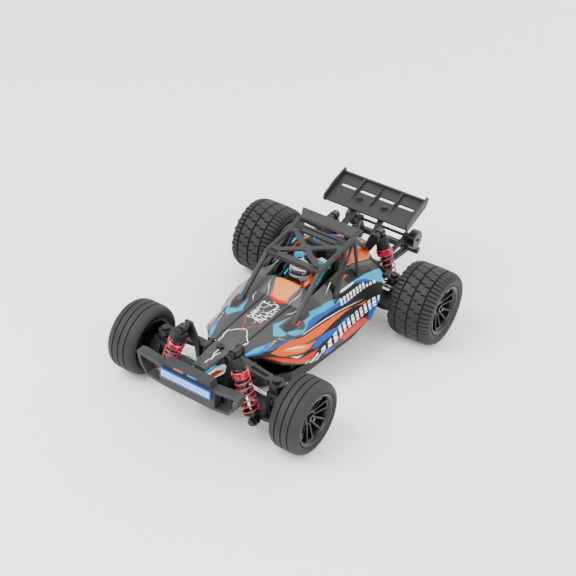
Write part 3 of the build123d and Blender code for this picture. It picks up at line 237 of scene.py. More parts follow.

# Bands of the side in painting order: (colour, upper edge, lower edge), all print but one painted highlight along
# the lower window edge; an edge is a line of (y, z) points, and a lower edge that is shorter than the upper one
# closes on to its ends.
SIDE_BANDS = (
    (BLACK, ((-134, 52), (-98, 53), (-88, 51.8), (-60, 52), (-43, 50), (-12, 57), (0, 61), (64, 90)),
     ((-134, 10), (98, 10))),
    (GREY, ((-14, 58), (-12, 90), (22, 90), (24, 60)), ((-8, 61.4), (10, 61.5))),
    (BLACK, ((4, 61), (6, 90), (9, 90), (11, 61)), ()),
    (WHITE, ((-6, 63), (10, 68.2), (11, 67.6)), ((0, 64.4),)),
    (ORANGE, ((23, 72), (25, 90), (84, 90), (85, 58)), ((25, 70.6), (40, 71.4), (63, 65.4))),
    (RED, ((23, 72), (25, 90), (38, 90), (44, 70.6)), ((25, 70.6), (40, 71.4))),
    (PEACH, ((24, 71.4), (40, 72.4), (49, 70.4), (63, 66.4), (85, 59)),
     ((24, 71.2), (40, 71.4), (49, 69.2), (63, 65.4), (85, 57.8))),
    (GREY, ((24, 70.4), (40, 70.9), (49, 68.7), (63, 64.9), (85, 57.6)),
     ((24, 70.2), (40, 68.4), (49, 66.2), (63, 62.9), (85, 56.6))),
    (RED, ((19, 66), (24, 68.8), (31, 67)), ((25, 66),)),
    (GREY, ((-86, 52), (-67, 56.4), (-52, 54), (-46, 50)), ((-80, 50.8), (-60, 51.6))),
    (BLUE, ((-92, 52), (-80, 54.6), (-66, 57), (-58, 57.4), (-52, 55.6)),
     ((-80, 53.4), (-66, 55.6), (-58, 55.2))),
    (CYAN, ((-72, 56.4), (-66.5, 61), (-60, 61), (-40, 60.6)), ((-63.5, 57), (-59, 59))),
    (BLUE, ((-42, 53), (-35, 55.8), (-25, 57.2), (-10, 57.6), (2, 56.8), (12, 55), (24, 52.5)),
     ((-42, 51.6), (-30, 53.1), (-20, 54.7), (-12, 55.2), (0, 54.6), (12, 53.2))),
    (CYAN, ((-59, 57), (-53, 55.8), (-47, 55.4), (-43, 53.6), (-40, 54.2), (-37, 57), (-28, 58.8),
            (-20, 60.4), (-12, 61.5), (-4, 61.2), (6, 59.2), (12, 57)),
     ((-55, 53.6), (-50, 51.8), (-43, 51.1), (-38, 53.6), (-34, 55.9), (-25, 57.2), (-10, 57.4),
      (2, 56.6))),
    (RED, ((-50, 58.6), (-46, 59.3), (-40, 58.4), (-36, 57.8)), ((-44, 57), (-40, 57.2))),
    (WHITE, ((-52, 50.3), (-43, 50.9), (-30, 52), (-15, 53.6), (0, 52.6), (20, 50.3), (44, 46.2)),
     ((-43, 50.2), (-30, 51.2), (-15, 52.7), (0, 51.8), (20, 49.6))),
    (WHITE, ((-90, 51.4), (-67, 55.6), (-58, 51.4)), ((-67, 54.9),)),
    (ORANGE, ((-81, 50), (-70, 51.6), (-58, 52), (-50, 50), (-43, 49.4), (-30, 50.6), (-13, 52.2),
              (0, 51.2), (10, 50), (24, 47.6), (37, 46.4)),
     ((-76, 46.4), (-67, 42.4), (-52, 39.8), (-44, 39.4), (-41, 41), (-28, 45.2), (-14, 48.6), (4, 49.2),
      (16, 48.6), (28, 45.6))),
    (PEACH, ((-72, 49), (-62, 48), (-48, 44.6), (-40, 41.2)), ((-64, 44.4), (-52, 40.6))),
    (WHITE, ((-70, 48.6), (-58, 46.6), (-42, 41)), ((-60, 45.6),)),
    (GREY, ((-52, 45.8), (-46, 44.8), (-38, 44.9), (-26, 46)), ((-45, 43), (-36, 42.6))),
    (GREY, ((-76, 46), (-66, 43.6), (-54, 40.4), (-44, 39.6)), ((-66, 41.4), (-56, 38.4))),
    (WHITE, ((-68, 43), (-60, 40.2), (-52, 38.2)), ((-61, 39),)),
    (RED, ((-90, 50.4), (-78, 46.4), (-66, 41.2), (-57, 38), (-42, 36.9), (-36, 38.4)),
     ((-80, 43.4), (-70, 37.8), (-60, 32.6), (-52, 28.6), (-46, 33.2), (-42, 35))),
    (ORANGE, ((-83, 47), (-68, 40.4), (-56, 35.6), (-49, 31)), ((-70, 38.6), (-60, 33.6))),
    (BLACK, ((-60, 37), (-52, 35.2), (-44, 34.4)), ((-50, 33.4),)),
    (BLUE, ((-45, 38.4), (-38, 42), (-30, 44.6), (-22, 45.6), (-10, 45.6), (2, 46.6), (10, 45.8)),
     ((-38, 38.2), (-30, 40.4), (-22, 41.6), (-12, 43.4), (2, 45))),
    (BLUE, ((-36, 34), (-30, 35), (-20, 30), (-12, 24)), ((-32, 29), (-26, 24))),
    (RED, ((-21, 39.5), (0, 40), (20, 39.2), (34, 28), (35, 20)), ((-8, 33), (-4, 20))),
    (BLUE, ((28, 38), (33, 42), (52, 46), (56, 44)), ((34, 26), (36, 20), (46, 28))),
    (WHITE, ((-134.5, 53), (-128, 54.6), (-116, 52), (-112, 46)), ((-134.5, 44), (-118, 41))),
    (RED, ((-134, 50), (-124, 50.6), (-116, 46)), ((-134, 46), (-124, 44))),
    (CYAN, ((-134, 54), (-124, 54.6), (-118, 52)), ((-134, 51), (-126, 52))),
    # Thin white line along the lower window edge: a painted highlight, not print.
    (WHITE, ((8, 61.4), (14, 62.4), (28, 62.6), (40, 62.4)), ((14, 60.8), (28, 61))),
    (CYAN, ((22, 62), (36, 62.8), (46, 62), (56, 60.6), (66, 59), (67, 50)),
     ((34, 61.2), (43, 59.2), (50, 55.4), (62, 50))),
    (BLUE, ((28, 61.2), (36, 61.4), (44, 59.4), (50, 56)), ((36, 59.2), (44, 56.4))),
)
# Zones of slanted strokes on the sides, in place of lettering: (pitch, upper edge, lower edge).
STROKES = (
    (6.5, ((-52, 30), (-40, 35), (-20, 42), (-10, 45), (48, 45.5), (49, 44)),
     ((-49, 22), (-40, 22), (-36, 33), (-20, 37), (-10, 39.6), (48, 39.6))),
    (4.6, ((3, 55), (4, 58.4), (40, 58.2), (41, 56), (53, 56), (54, 53)), ((4, 53.8), (40, 53.8))),
)
# Bands of the hood, the deck and the tail seen from above: edges are lines of (y, |x|) points.
TOP_BANDS = (
    (BLACK, ((-112, 9.5), (-90, 12.6), (-50, 13.8), (-24, 13.8)),
     ((-112, 8), (-90, 10.4), (-50, 11.2), (-24, 12))),
    (CYAN, ((-100, 17), (-98, 21), (-76, 30), (-72, 26)), ((-90, 19.4), (-80, 23.4))),
    (CYAN, ((-68, 23), (-62, 30), (-58, 30), (-57, 20.6), (-46, 21), (-36, 22.8)), ((-57, 15.4), (-50, 18))),
    (DARK, ((-57, 26), (-55, 31), (-40, 32), (-38, 28)), ((-54, 22.6), (-42, 23.4))),
    (RED, ((-46, 27), (-44, 31), (-39, 31), (-38, 27)), ((-43, 24.6),)),
    (WHITE, ((-43, 14.6), (-36, 20.4), (-18, 22.4)), ((-35, 19.7),)),
    (WHITE, ((-44, 11.4), (-26, 11.8), (-21, 15), (-14, 16)), ((-26, 11.2), (-20, 14.4))),
    (RED, ((-33, 0), (-29, 8.4), (-24, 9.2), (-23, 0)), ((-32, -1), (-24, -1))),
    (PEACH, ((-28, 0), (-27, 7.2), (-14, 12.4), (-12, 0)), ((-27, -1), (-13, -1))),
    (DARK, ((36, 0), (37, 30), (84, 20), (85, 0)), ((37, -1), (84, -1))),
    (BLUE, ((40, 8), (44, 15), (52, 17), (60, 12)), ((46, 7), (54, 9))),
    (WHITE, ((42, 12), (48, 16.4), (56, 15), (60, 12)), ((48, 14.8), (56, 13.4))),
    (CYAN, ((44, 6), (50, 8.6), (56, 6)), ((50, 5),)),
    (RED, ((52, 4), (60, 7), (70, 4)), ((60, 1.4),)),
    (BLUE, ((62, 14), (68, 20), (82, 16), (88, 8)), ((70, 9), (80, 6.4))),
    (PEACH, ((76, 8), (82, 13), (92, 9)), ((84, 5),)),
)
# The line between top and side, and the zone of the fine net of cracks, in the same way.
SHOULDER = ((-134, 5), (-118, 8.6), (-97, 15), (-88, 19.5), (-76, 25.5), (-60, 29), (-43, 31), (-28, 32),
            (-14, 14), (38, 18.5), (64, 18.5), (82, 12.5), (98, 9.5))
TANGLE = (((-68, 0), (-60, 9), (-36, 9), (-33, 0)), ((-67, -1), (-34, -1)))
# Thin cracks over the hood: (ink, start, end) in (y, x).
CRACKS = (
    (WHITE, (-100, 8), (-88, 13)), (WHITE, (-88, 13), (-76, 2)), (WHITE, (-76, 2), (-84, -9)),
    (RED, (-79, 0), (-60, 9.5)), (RED, (-79, 0), (-60, -9.5)), (WHITE, (-100, -7), (-84, -9)),
    (WHITE, (-122, 3), (-106, -1)), (WHITE, (-128, 1), (-112, 4)),
)
# The range of the curves that hold the edges: along the car, and across it or upwards.
SPAN_Y, LOW_Y = 250.0, -140.0
SPAN_V, LOW_V = 120.0, -20.0
CRACK_WIDTH = 0.8


class Livery(Shader):
    """Layers of colour over a surface: print, and one painted highlight; coordinates in millimetres."""

    def __init__(self, name, base):
        super().__init__(name, Coat_Weight=0.08, Coat_Roughness=0.15, Roughness=0.45, Specular_IOR_Level=0.25)
        split = self.nodes.new("ShaderNodeSeparateXYZ")
        self.links.new(self.place(), split.inputs[0])
        self.x, self.y, self.z = [self.math("MULTIPLY", axis, 1 / MM) for axis in split.outputs]
        self.side_x = self.math("ABSOLUTE", self.x)
        self.along = self.math("MULTIPLY_ADD", self.y, 1 / SPAN_Y, -LOW_Y / SPAN_Y)
        self.colour = self.mix(self.noise(60.0), [c * 0.85 for c in base], base)

    def edge(self, points):
        """The edge of a band as a function of the place along the car, held level beyond its ends."""
        node = self.nodes.new("ShaderNodeFloatCurve")
        node.mapping.extend = "HORIZONTAL"
        line = node.mapping.curves[0].points
        points = [(LOW_Y, points[0][1]), *points, (LOW_Y + SPAN_Y, points[-1][1])]
        spots = [((y - LOW_Y) / SPAN_Y, (v - LOW_V) / SPAN_V) for y, v in points]
        line[0].location, line[1].location = spots[0], spots[-1]
        for spot in spots[1:-1]:
            line.new(*spot)
        for point in line:
            point.handle_type = "VECTOR"
        node.mapping.update()
        self.links.new(self.along, node.inputs["Value"])
        return self.math("MULTIPLY_ADD", node.outputs[0], SPAN_V, LOW_V)

    def band(self, value, upper, lower):
        """1 well inside the band; the bias shuts the band where its edges meet."""
        first = () if lower and lower[0][0] <= upper[0][0] else upper[:1]
        last = () if lower and lower[-1][0] >= upper[-1][0] else upper[-1:]
        inside = self.math("MINIMUM", self.math("SUBTRACT", self.edge(upper), value),
                           self.math("SUBTRACT", value, self.edge((*first, *lower, *last))))
        return self.math("MULTIPLY_ADD", inside, 5.0, -0.6, clamp=True)

    def over(self, value, limit, slope=5.0):
        """1 where value is over limit and 0 where it is under, with a ramp between."""
        return self.math("MULTIPLY_ADD", self.math("SUBTRACT", value, limit), slope, 0.5, clamp=True)

    def crack(self, start, end):
        """Thin jagged line between two (y, x) points."""
        start, end = Vector(start), Vector(end)
        ahead = (end - start).normalized()
        wobble = self.math("MULTIPLY_ADD", self.noise(160.0, 2.0), 5.0, -2.5)
        u = self.math("ADD", self.math("MULTIPLY_ADD", self.y, ahead.x, -ahead.dot(start)),
                      self.math("MULTIPLY", self.x, ahead.y))
        offset = ahead.y * start.x - ahead.x * start.y
        v = self.math("ADD", self.math("MULTIPLY_ADD", self.y, -ahead.y, offset),
                      self.math("MULTIPLY", self.x, ahead.x))
        near = self.math("SUBTRACT", CRACK_WIDTH / 2, self.math("ABSOLUTE", self.math("ADD", v, wobble)))
        inside = self.math("MINIMUM", u, self.math("SUBTRACT", (end - start).length, u))
        return self.math("MULTIPLY", self.math("MINIMUM", near, inside), 6.0, clamp=True)

    def strokes(self, pitch):
        """Parallel slanted strokes with a cross cut through them."""
        lean = self.math("MULTIPLY_ADD", self.z, -0.55, self.y)
        stroke = self.over(self.math("FRACT", self.math("DIVIDE", lean, pitch)), 0.42, 14.0)
        cut = self.over(self.math("FRACT", self.math("DIVIDE", self.z, 2.9)), 0.2, 10.0)
        return self.math("MULTIPLY", stroke, cut)

    def crackle(self, size):
        """Fine broken net of cracks, cells about size across."""
        drift = self.vector("SCALE", self.noise_vector(200.0), None, None, 0.004)
        bent = self.vector("ADD", self.place(), drift)
        net = self.nodes.new("ShaderNodeTexVoronoi")
        net.feature = "DISTANCE_TO_EDGE"
        net.inputs["Scale"].default_value = 1000.0 / size
        self.links.new(bent, net.inputs["Vector"])
        line = self.math("SUBTRACT", 1.0, self.over(net.outputs["Distance"], 0.07, 18.0))
        return self.math("MULTIPLY", line, self.over(self.noise(110.0, 1.0), 0.45, 12.0))

    def noise_vector(self, scale):
        node = self.nodes.new("ShaderNodeTexNoise")
        node.inputs["Scale"].default_value = scale
        self.links.new(self.place(), node.inputs["Vector"])
        return node.outputs["Color"]

    # Lays a colour where the mask is: printed bands, cracks and strokes, and one painted highlight.
    def lay_colour(self, mask, colour):
        self.colour = self.mix(mask, self.colour, colour)


def livery_with_highlight():
    """Dark grey hood with cyan, orange and cracked white; slashed orange, blue and black sides; a painted white
    highlight along the lower window edge.
    """
    s = Livery("livery_with_highlight", GREY)
    side = s.over(s.side_x, s.edge(SHOULDER))
    for colour, upper, lower in TOP_BANDS:
        s.lay_colour(s.band(s.side_x, upper, lower), colour)
    for colour, start, end in CRACKS:
        s.lay_colour(s.crack(start, end), colour)
    tangle = s.band(s.side_x, *TANGLE)
    s.lay_colour(s.math("MULTIPLY", tangle, s.crackle(4.5)), WHITE)
    for colour, upper, lower in SIDE_BANDS:
        s.lay_colour(s.math("MULTIPLY", side, s.band(s.z, upper, lower)), colour)
    for pitch, upper, lower in STROKES:
        zone = s.math("MULTIPLY", side, s.band(s.z, upper, lower))
        s.lay_colour(s.math("MULTIPLY", zone, s.strokes(pitch)), WHITE)
    s.set("Base Color", s.colour)
    s.bump(s.noise(500.0, 1.0), 0.06, 0.0001)
    return s.material


BODY = livery_with_highlight()


# ---------------------------------------------------------------- mesh forms, in millimetres
ROD_CHAMFER = 0.25


class Shape:
    """Collects closed forms into one mesh piece; slot picks the material of what is added next."""

    def __init__(self):
        self.points, self.faces, self.slots = [], [], []
        self.slot = 0

    def add(self, points, faces):
        base = len(self.points)
        self.points += [Vector(p) for p in points]
        self.faces += [[base + i for i in face] for face in faces]
        self.slots += [self.slot] * len(faces)

    def rings(self, rings, closed=False):
        """Skins rings of equal length; the ends are capped, or joined when closed."""
        count = len(rings[0])
        faces = []
        for r in range(len(rings) - (0 if closed else 1)):
            a, b = r * count, (r + 1) % len(rings) * count
            faces += [[a + i, a + (i + 1) % count, b + (i + 1) % count, b + i] for i in range(count)]
        if not closed:
            faces += [list(reversed(range(count))), [(len(rings) - 1) * count + i for i in range(count)]]
        self.add([p for ring in rings for p in ring], faces)

    def lathe(self, profile, origin, axis, sides=48, closed=False, wave=None):
        """Turns (distance along axis, radius) points about axis; wave(i) scales the radius at side i."""
        frame_ = Vector(axis).normalized().to_track_quat("Z", "X").to_matrix()
        rings = []
        for along, radius in profile:
            ring = []
            for i in range(sides):
                a = 2 * math.pi * i / sides
                r = radius * (wave(i) if wave else 1)
                ring.append(Vector(origin) + frame_ @ Vector((r * math.cos(a), r * math.sin(a), along)))
            rings.append(ring)
        self.rings(rings, closed)

    def rod(self, start, end, radius, sides=20):
        """Round bar with small chamfers."""
        start, end = Vector(start), Vector(end)
        length = (end - start).length
        c = min(ROD_CHAMFER, radius * 0.5, length * 0.3)
        profile = [(0, radius - c), (c, radius), (length - c, radius), (length, radius - c)]
        self.lathe(profile, start, end - start, sides)

    def tube(self, path, radius, sides=10, closed=False):
        """Round wire along a path of points."""
        path = [Vector(p) for p in path]
        rings, normal = [], None
        for i, p in enumerate(path):
            if closed:
                along = path[(i + 1) % len(path)] - path[i - 1]
            else:
                along = path[min(i + 1, len(path) - 1)] - path[max(i - 1, 0)]
            along.normalize()
            normal = along.orthogonal() if normal is None else normal - along * normal.dot(along)
            normal.normalize()
            other = along.cross(normal)
            turn = [2 * math.pi * k / sides for k in range(sides)]
            rings.append([p + (normal * math.cos(a) + other * math.sin(a)) * radius for a in turn])
        self.rings(rings, closed)

    def eye(self, at, half, bore, radius):
        """Ring lying fore and aft, 2 x half wide, with chamfered rims."""
        c = 0.4
        profile = [(-half, bore), (-half, radius - c), (-half + c, radius), (half - c, radius),
                   (half, radius - c), (half, bore)]
        self.lathe(profile, at, (0, 1, 0), 32, closed=True)

    def bar(self, start, end, width, depth, side=(1, 0, 0)):
        """Rectangular bar; width lies along side."""
        start, end, side = Vector(start), Vector(end), Vector(side)
        along = (end - start).normalized()
        side = (side - along * side.dot(along)).normalized()
        up = along.cross(side)
        u, v = side * width / 2, up * depth / 2
        self.rings([[p - u - v, p + u - v, p + u + v, p - u + v] for p in (start, end)])

    def box(self, low, high):
        (x0, y0, z0), (x1, y1, z1) = low, high
        self.rings([[(x0, y0, z), (x1, y0, z), (x1, y1, z), (x0, y1, z)] for z in (z0, z1)])

    def plate(self, outline, origin, u, v, depth):
        """Flat plate: an outline in the u, v plane, made depth thick along u x v, centred."""
        origin, u, v = Vector(origin), Vector(u), Vector(v)
        n = u.cross(v).normalized() * depth / 2
        flat = [origin + u * a + v * b for a, b in outline]
        self.rings([[p - n for p in flat], [p + n for p in flat]])

    def piece(self, name, materials, body, replaces=(), bevel=0.0, sharp=35.0):
        """Makes the Blender object; edges steeper than sharp stay sharp, or get a bevel."""
        mesh = bpy.data.meshes.new(name)
        mesh.from_pydata([p * MM for p in self.points], [], self.faces)
        made = bmesh.new()
        made.from_mesh(mesh)
        bmesh.ops.recalc_face_normals(made, faces=made.faces)
        for edge in made.edges:
            edge.smooth = edge.calc_face_angle(0.0) < math.radians(sharp)
        for face, slot in zip(made.faces, self.slots):
            face.smooth = True
            face.material_index = slot
        made.to_mesh(mesh)
        made.free()
        obj = bpy.data.objects.new(name, mesh)
        bpy.context.scene.collection.objects.link(obj)
        for material in materials if isinstance(materials, (list, tuple)) else [materials]:
            mesh.materials.append(material)
        if bevel:
            add_bevel(obj, bevel, sharp)
        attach(obj, body)
        if replaces:
            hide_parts(*replaces)
        return obj


def add_bevel(obj, width, sharp):
    """Rounds the sharp edges by width, in millimetres."""
    modifier = obj.modifiers.new("edge", "BEVEL")
    modifier.width = width * MM
    modifier.segments = 2
    modifier.limit_method = "ANGLE"
    modifier.angle_limit = math.radians(sharp)
    modifier.harden_normals = True


def side_of(c):
    """1 for a corner on the left, -1 for one on the right."""
    return 1 if "left" in c else -1


def paint(node, material, bevel):
    """Gives a CAD node its finish and lightly rounded edges."""
    obj = NODES[node]
    obj.data.materials.clear()
    obj.data.materials.append(material)
    add_bevel(obj, bevel, 30.0)


# ---------------------------------------------------------------- wheels
BEAD_R = 20.0
BEAD_INSET = 2.9
TREAD_DEPTH = 2.3
PITCHES = 26
SPOKES, SPOKE_TURN = 6, 0.26


def tyre_size(c):
    """Middle, half width and radius of a corner's tyre."""
    low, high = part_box(f"{c}_tyre")
    return (low + high) / 2 / MM, (high.x - low.x) / 2 / MM, (high.z - low.z) / 2 / MM


def mirror(points):
    """The points mirrored in the wheel's middle plane, from last to first."""
    return [(-u, r) for u, r in reversed(points)]


def front_tyre(c):
    """Ribbed tyre: three grooves round a crowned tread, soft shoulders and a bead ring."""
    hub, half, radius = tyre_size(c)
    crown = [(-half, 25.2), (-half + 0.35, 26.8), (-half + 1.2, 28.3), (-half + 2.6, 29.5),
             (-half + 4.4, 30.3)]
    tread = [(-7.2, 30.75)]
    lip = [(-0.65, radius - 0.05), (-0.45, radius - 0.35), (-0.35, radius - 1.5)]
    for groove in (-6.3, -0.4, 5.5):
        tread += [(groove + u, r) for u, r in lip + mirror(lip)]
    tread += [(7.2, 30.75)]
    outer = crown + tread + mirror(crown)
    bead = half - BEAD_INSET
    inside = [(bead + 1.5, 23.6), (bead + 0.9, 22.9), (bead + 0.1, 22.4), (bead, BEAD_R),
              (bead - 2.4, BEAD_R), (bead - 2.2, 23.0), (half - 3.2, 26.5)]
    loop = outer + inside + [(0, radius - 3.6)] + mirror(inside)
    tyre = Shape()
    tyre.lathe(loop, hub, (1, 0, 0), 96, closed=True)
    return tyre.piece(f"{c}_tyre_ribbed", RUBBER, f"{c}_wheel", [f"{c}_tyre"], sharp=50)


def rear_crown(u, radius):
    """Outer radius of the rear tread at offset u from the middle plane: nearly flat, then falling away."""
    flat, shoulder, sag = 12.5, 8.5, 0.3
    if abs(u) < flat:
        return radius - sag * (u / flat) ** 2
    return radius - (sag + 3.4 * ((abs(u) - flat) / shoulder) ** 2.2)


def lug(shape, cells, turn, hub, radius):
    """One tread block: a grid of (u, s) corners pressed on to the carcass, with drafted sides."""
    rows, columns = len(cells), len(cells[0])
    count = rows * columns
    corners = [corner for row in cells for corner in row]
    middle = Vector((sum(u for u, s in corners), sum(s for u, s in corners))) / count
    levels = ((-TREAD_DEPTH - 0.4, 0.5), (-0.35, 0.0), (0.0, -0.3))      # (height, growth of the outline)
    skins = []
    for height, grow in levels:
        skin = []
        for u, s in corners:
            u2 = u + (grow if u > middle.x else -grow)
            s2 = s + (grow if s > middle.y else -grow)
            r = rear_crown(u2, radius) + height
            angle = turn + s2 / radius
            skin.append(hub + Vector((u2, -r * math.sin(angle), r * math.cos(angle))))
        skins.append(skin)
    edge = list(range(columns)) + [r * columns + columns - 1 for r in range(1, rows)]
    edge += [(rows - 1) * columns + i for i in range(columns - 2, -1, -1)]
    edge += [r * columns for r in range(rows - 2, 0, -1)]
    faces = []
    for base in (0, count):
        for a, b in zip(edge, edge[1:] + edge[:1]):
            faces.append([base + a, base + b, base + count + b, base + count + a])
    for r in range(rows - 1):
        for i in range(columns - 1):
            a = r * columns + i
            quad = [a, a + 1, a + columns + 1, a + columns]
            faces.append([2 * count + k for k in quad])
            faces.append([k for k in reversed(quad)])
    shape.add([p for skin in skins for p in skin], faces)


def grid(u_values, s_values):
    return [[(u, s) for u in u_values] for s in s_values]


def rear_tyre(c):
    """Block tyre: two staggered columns of stepped blocks and a row of lugs over each shoulder."""
    hub, half, radius = tyre_size(c)
    outer = [(-half + 0.6, 25.4), (-half + 0.2, 27.2), (-half + 0.5, 28.6), (-half + 1.6, 29.6)]
    outer += [(u, rear_crown(u, radius) - TREAD_DEPTH) for u in (-17, -14, -10, -5)]
    bead = half - BEAD_INSET
    inside = [(half - 1.3, 24.0), (bead + 0.8, 23.2), (bead + 0.1, 22.4), (bead, BEAD_R),
              (bead - 2.4, BEAD_R), (bead - 2.2, 23.0), (half - 3.4, 26.0), (half - 6.0, radius - 4.5)]
    loop = outer + [(0, radius - TREAD_DEPTH)] + mirror(outer) + inside + mirror(inside)
    tyre = Shape()
    tyre.lathe(loop, hub, (1, 0, 0), 96, closed=True)
    step = 2 * math.pi / PITCHES
    pitch = step * radius
    for n in range(PITCHES):
        for column, offset in ((-1, 0.0), (1, 0.5)):
            turn = step * (n + offset)
            u0, u1, u2 = (-10.8, -5.2, -0.6) if column < 0 else (0.6, 6.2, 10.8)
            lug(tyre, grid((u0, u1), (-3.3, 0.0, pitch - 4.7)), turn, hub, radius)
            lug(tyre, grid((u1 - 1.2, u2), (-1.6, 1.6, pitch - 2.9)), turn, hub, radius)
        for side in (-1, 1):
            us = sorted(side * u for u in (12.0, 14.5, 17.0, 19.0, half - 0.7))
            for start, end in ((-pitch * 0.42, -0.5), (0.5, pitch * 0.42)):
                row = us[1:] if side < 0 and start < 0 else us
                lug(tyre, grid(row, (start, end)), step * n, hub, radius)
    return tyre.piece(f"{c}_tyre_block", RUBBER, f"{c}_wheel", [f"{c}_tyre"], sharp=40)


def rim(c):
    """Gloss rim: dished barrel, six looped spokes with thin grey strips along their outer faces as painted
    highlights, hub, hex and wheel nut.
    """
    side = side_of(c)
    hub, half = tyre_size(c)[:2]
    half -= 1.5
    deep = half - 9.5
    rise = half - 2.4
    out = Vector((side, 0, 0))
    shape = Shape()
    barrel = [(-half, 18.6), (-half, 21.6), (-half + 1.3, 21.8), (-half + 1.5, 19.95), (half - 1.5, 19.95),
              (half - 1.3, 22.0), (half - 0.7, 22.5), (half - 0.1, 22.3), (half, 21.6), (half - 0.4, 20.6),
              (half - 1.6, 19.6), (half - 2.6, 18.9), (half - 8, 18.2)]
    shape.lathe(barrel, hub, out, 72, closed=True)
    disc = [(deep - 3, 18.4), (deep - 3, 3.0), (deep - 1.2, 3.0), (deep - 1.2, 18.4)]
    shape.lathe(disc, hub, out, 48, closed=True)
    shape.lathe([(deep - 4, 7.4), (deep + 2.2, 7.0), (deep + 3.4, 6.2), (deep + 3.6, 4.6), (deep + 2.4, 4.2),
                 (deep + 2.4, 1.0)], hub, out, 36)
    for n in range(SPOKES):
        turn = 2 * math.pi * n / SPOKES + SPOKE_TURN
        radial = Vector((0, math.cos(turn), math.sin(turn)))
        cross = out.cross(radial)
        roots, tips = [], []
        for k in (-1, 1):
            root = hub + out * (deep + 2.6) + radial * 5.6 + cross * k * 1.7
            tip = hub + out * rise + radial * 18.7 + cross * k * 4.3
            roots.append(root)
            tips.append(tip)
            shape.slot = 0
            shape.bar(root - out * 0.9, tip - out * 0.9, 1.7, 2.6, cross)
            # Thin grey strip on the spoke's outer face: painted highlight.
            shape.slot = 1
            shape.bar(root + out * 0.45 - radial * 0.2, tip + out * 0.45 - radial * 0.3, 0.55, 0.3, cross)
        loop = [tip - radial * 0.9 for tip in tips]
        shape.slot = 0
        shape.bar(roots[0] - out * 0.9, roots[1] - out * 0.9, 1.8, 2.2, radial)
        shape.bar(loop[0] - out * 0.9, loop[1] - out * 0.9, 1.7, 2.2, radial)
        # Thin grey strip on the spoke's loop: painted highlight.
        shape.slot = 1
        shape.bar(loop[0] + out * 0.25, loop[1] + out * 0.25, 0.5, 0.3, radial)
    shape.slot = 2
    shape.lathe([(deep + 2.4, 3.4), (deep + 5.0, 3.4), (deep + 5.6, 2.6)], hub, out, 6)
    shape.rod(hub + out * (deep + 2), hub + out * (deep + 7.4), 1.6)
    cup = Vector((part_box(f"{c}_rim")[0 if side > 0 else 1].x / MM, hub.y, hub.z))
    shape.lathe([(0, 3.1), (0, 4.6), (0.4, 5.0), (6.1, 5.0), (6.5, 4.6), (6.5, 2.0), (5.3, 2.0), (5.3, 3.1)],
                cup, out, 32, closed=True)
    shape.rod(cup + out * 6.4, hub + out * (deep - 3), 1.98)
    shape.slot = 0
    shape.lathe([(abs(cup.x) + 10.3 - hub.x * side, 5.6), (deep - 3, 5.6)], hub, out, 6)
    slots = [GLOSS_BLACK, SPOKE_HIGHLIGHT_GREY, DARK_STEEL]
    return shape.piece(f"{c}_rim_spoked", slots, f"{c}_wheel", [f"{c}_rim"], sharp=40)


for corner in CORNERS:
    (front_tyre if corner.startswith("front") else rear_tyre)(corner)
    rim(corner)


# ---------------------------------------------------------------- dampers
CAP_R, COLLAR_R, COIL_R = 6.0, 7.3, 6.3
WIRE_R = 0.72
COIL_TURNS, COIL_STEPS = 7.2, 26       # turns, and points in each
END_TURN = 0.08                        # the share of the coil that lies flat at each end
COLLAR_FOOT, SEAT_TOP = 19.5, 9.0      # below the top eye, and above the lower one


def damper_line(c):
    """Top eye, direction and length of a damper, from its hinge and from its rod's slide."""
    top = Vector(JOINTS[f"{c}_shock_swing"]["pos_m"]) / MM
    along = -Vector(JOINTS[f"{c}_shock_stroke"]["axis"]).normalized()
    eye_radius = 4.2
    length = (top.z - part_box(f"{c}_shock_rod")[0].z / MM - eye_radius) / abs(along.z)
    return top, along, length


def cap_ribs(i):
    return 1.0 if i % 4 < 2 else 0.955


def collar_notches(i):
    return 1.0 if i % 8 < 6 else 0.93


def damper_tube(c, top, along):
    """Top eye, ribbed cap, notched red collar and the tube with its thread."""
    body = Shape()
    body.eye(top, 2.9, 1.6, 4.3)
    body.lathe([(2.6, 4.6), (3.0, 5.4), (3.8, 5.9), (4.6, 5.9)], top, along, 48)
    body.lathe([(4.6, 5.6), (4.9, CAP_R), (11.6, CAP_R), (11.9, 5.6)], top, along, 96, wave=cap_ribs)
    body.lathe([(11.9, 5.7), (12.3, 6.2), (14.2, 6.2), (14.5, 5.8)], top, along, 48)
    body.slot = 1
    body.lathe([(14.5, 6.4), (14.9, COLLAR_R - 0.3), (15.1, COLLAR_R), (17.2, COLLAR_R),
                (17.5, COLLAR_R - 0.2), (17.8, COLLAR_R), (19.2, COLLAR_R), (COLLAR_FOOT, COLLAR_R - 0.4),
                (COLLAR_FOOT, 5.0)],
               top, along, 96, wave=collar_notches)
    body.slot = 2
    body.lathe([(19.0, 4.2), (34.0, 4.2), (34.4, 3.9), (34.4, 4.2), (36.0, 4.2), (36.0, 1.7), (30, 1.7),
                (30, 1.0)], top, along, 40)
    body.slot = 0
    thread = [(20.2 + 0.55 * n + (0.27 if k else 0), 4.25 + 0.12 * k) for n in range(9) for k in (0, 1)]
    body.lathe([(20.0, 4.0)] + thread + [(25.4, 4.0)], top, along, 32)
    slots = [GLOSS_BLACK, CRIMSON, DARK_STEEL]
    body.piece(f"{c}_damper_tube", slots, f"{c}_shock", [f"{c}_shock_body"], sharp=30)


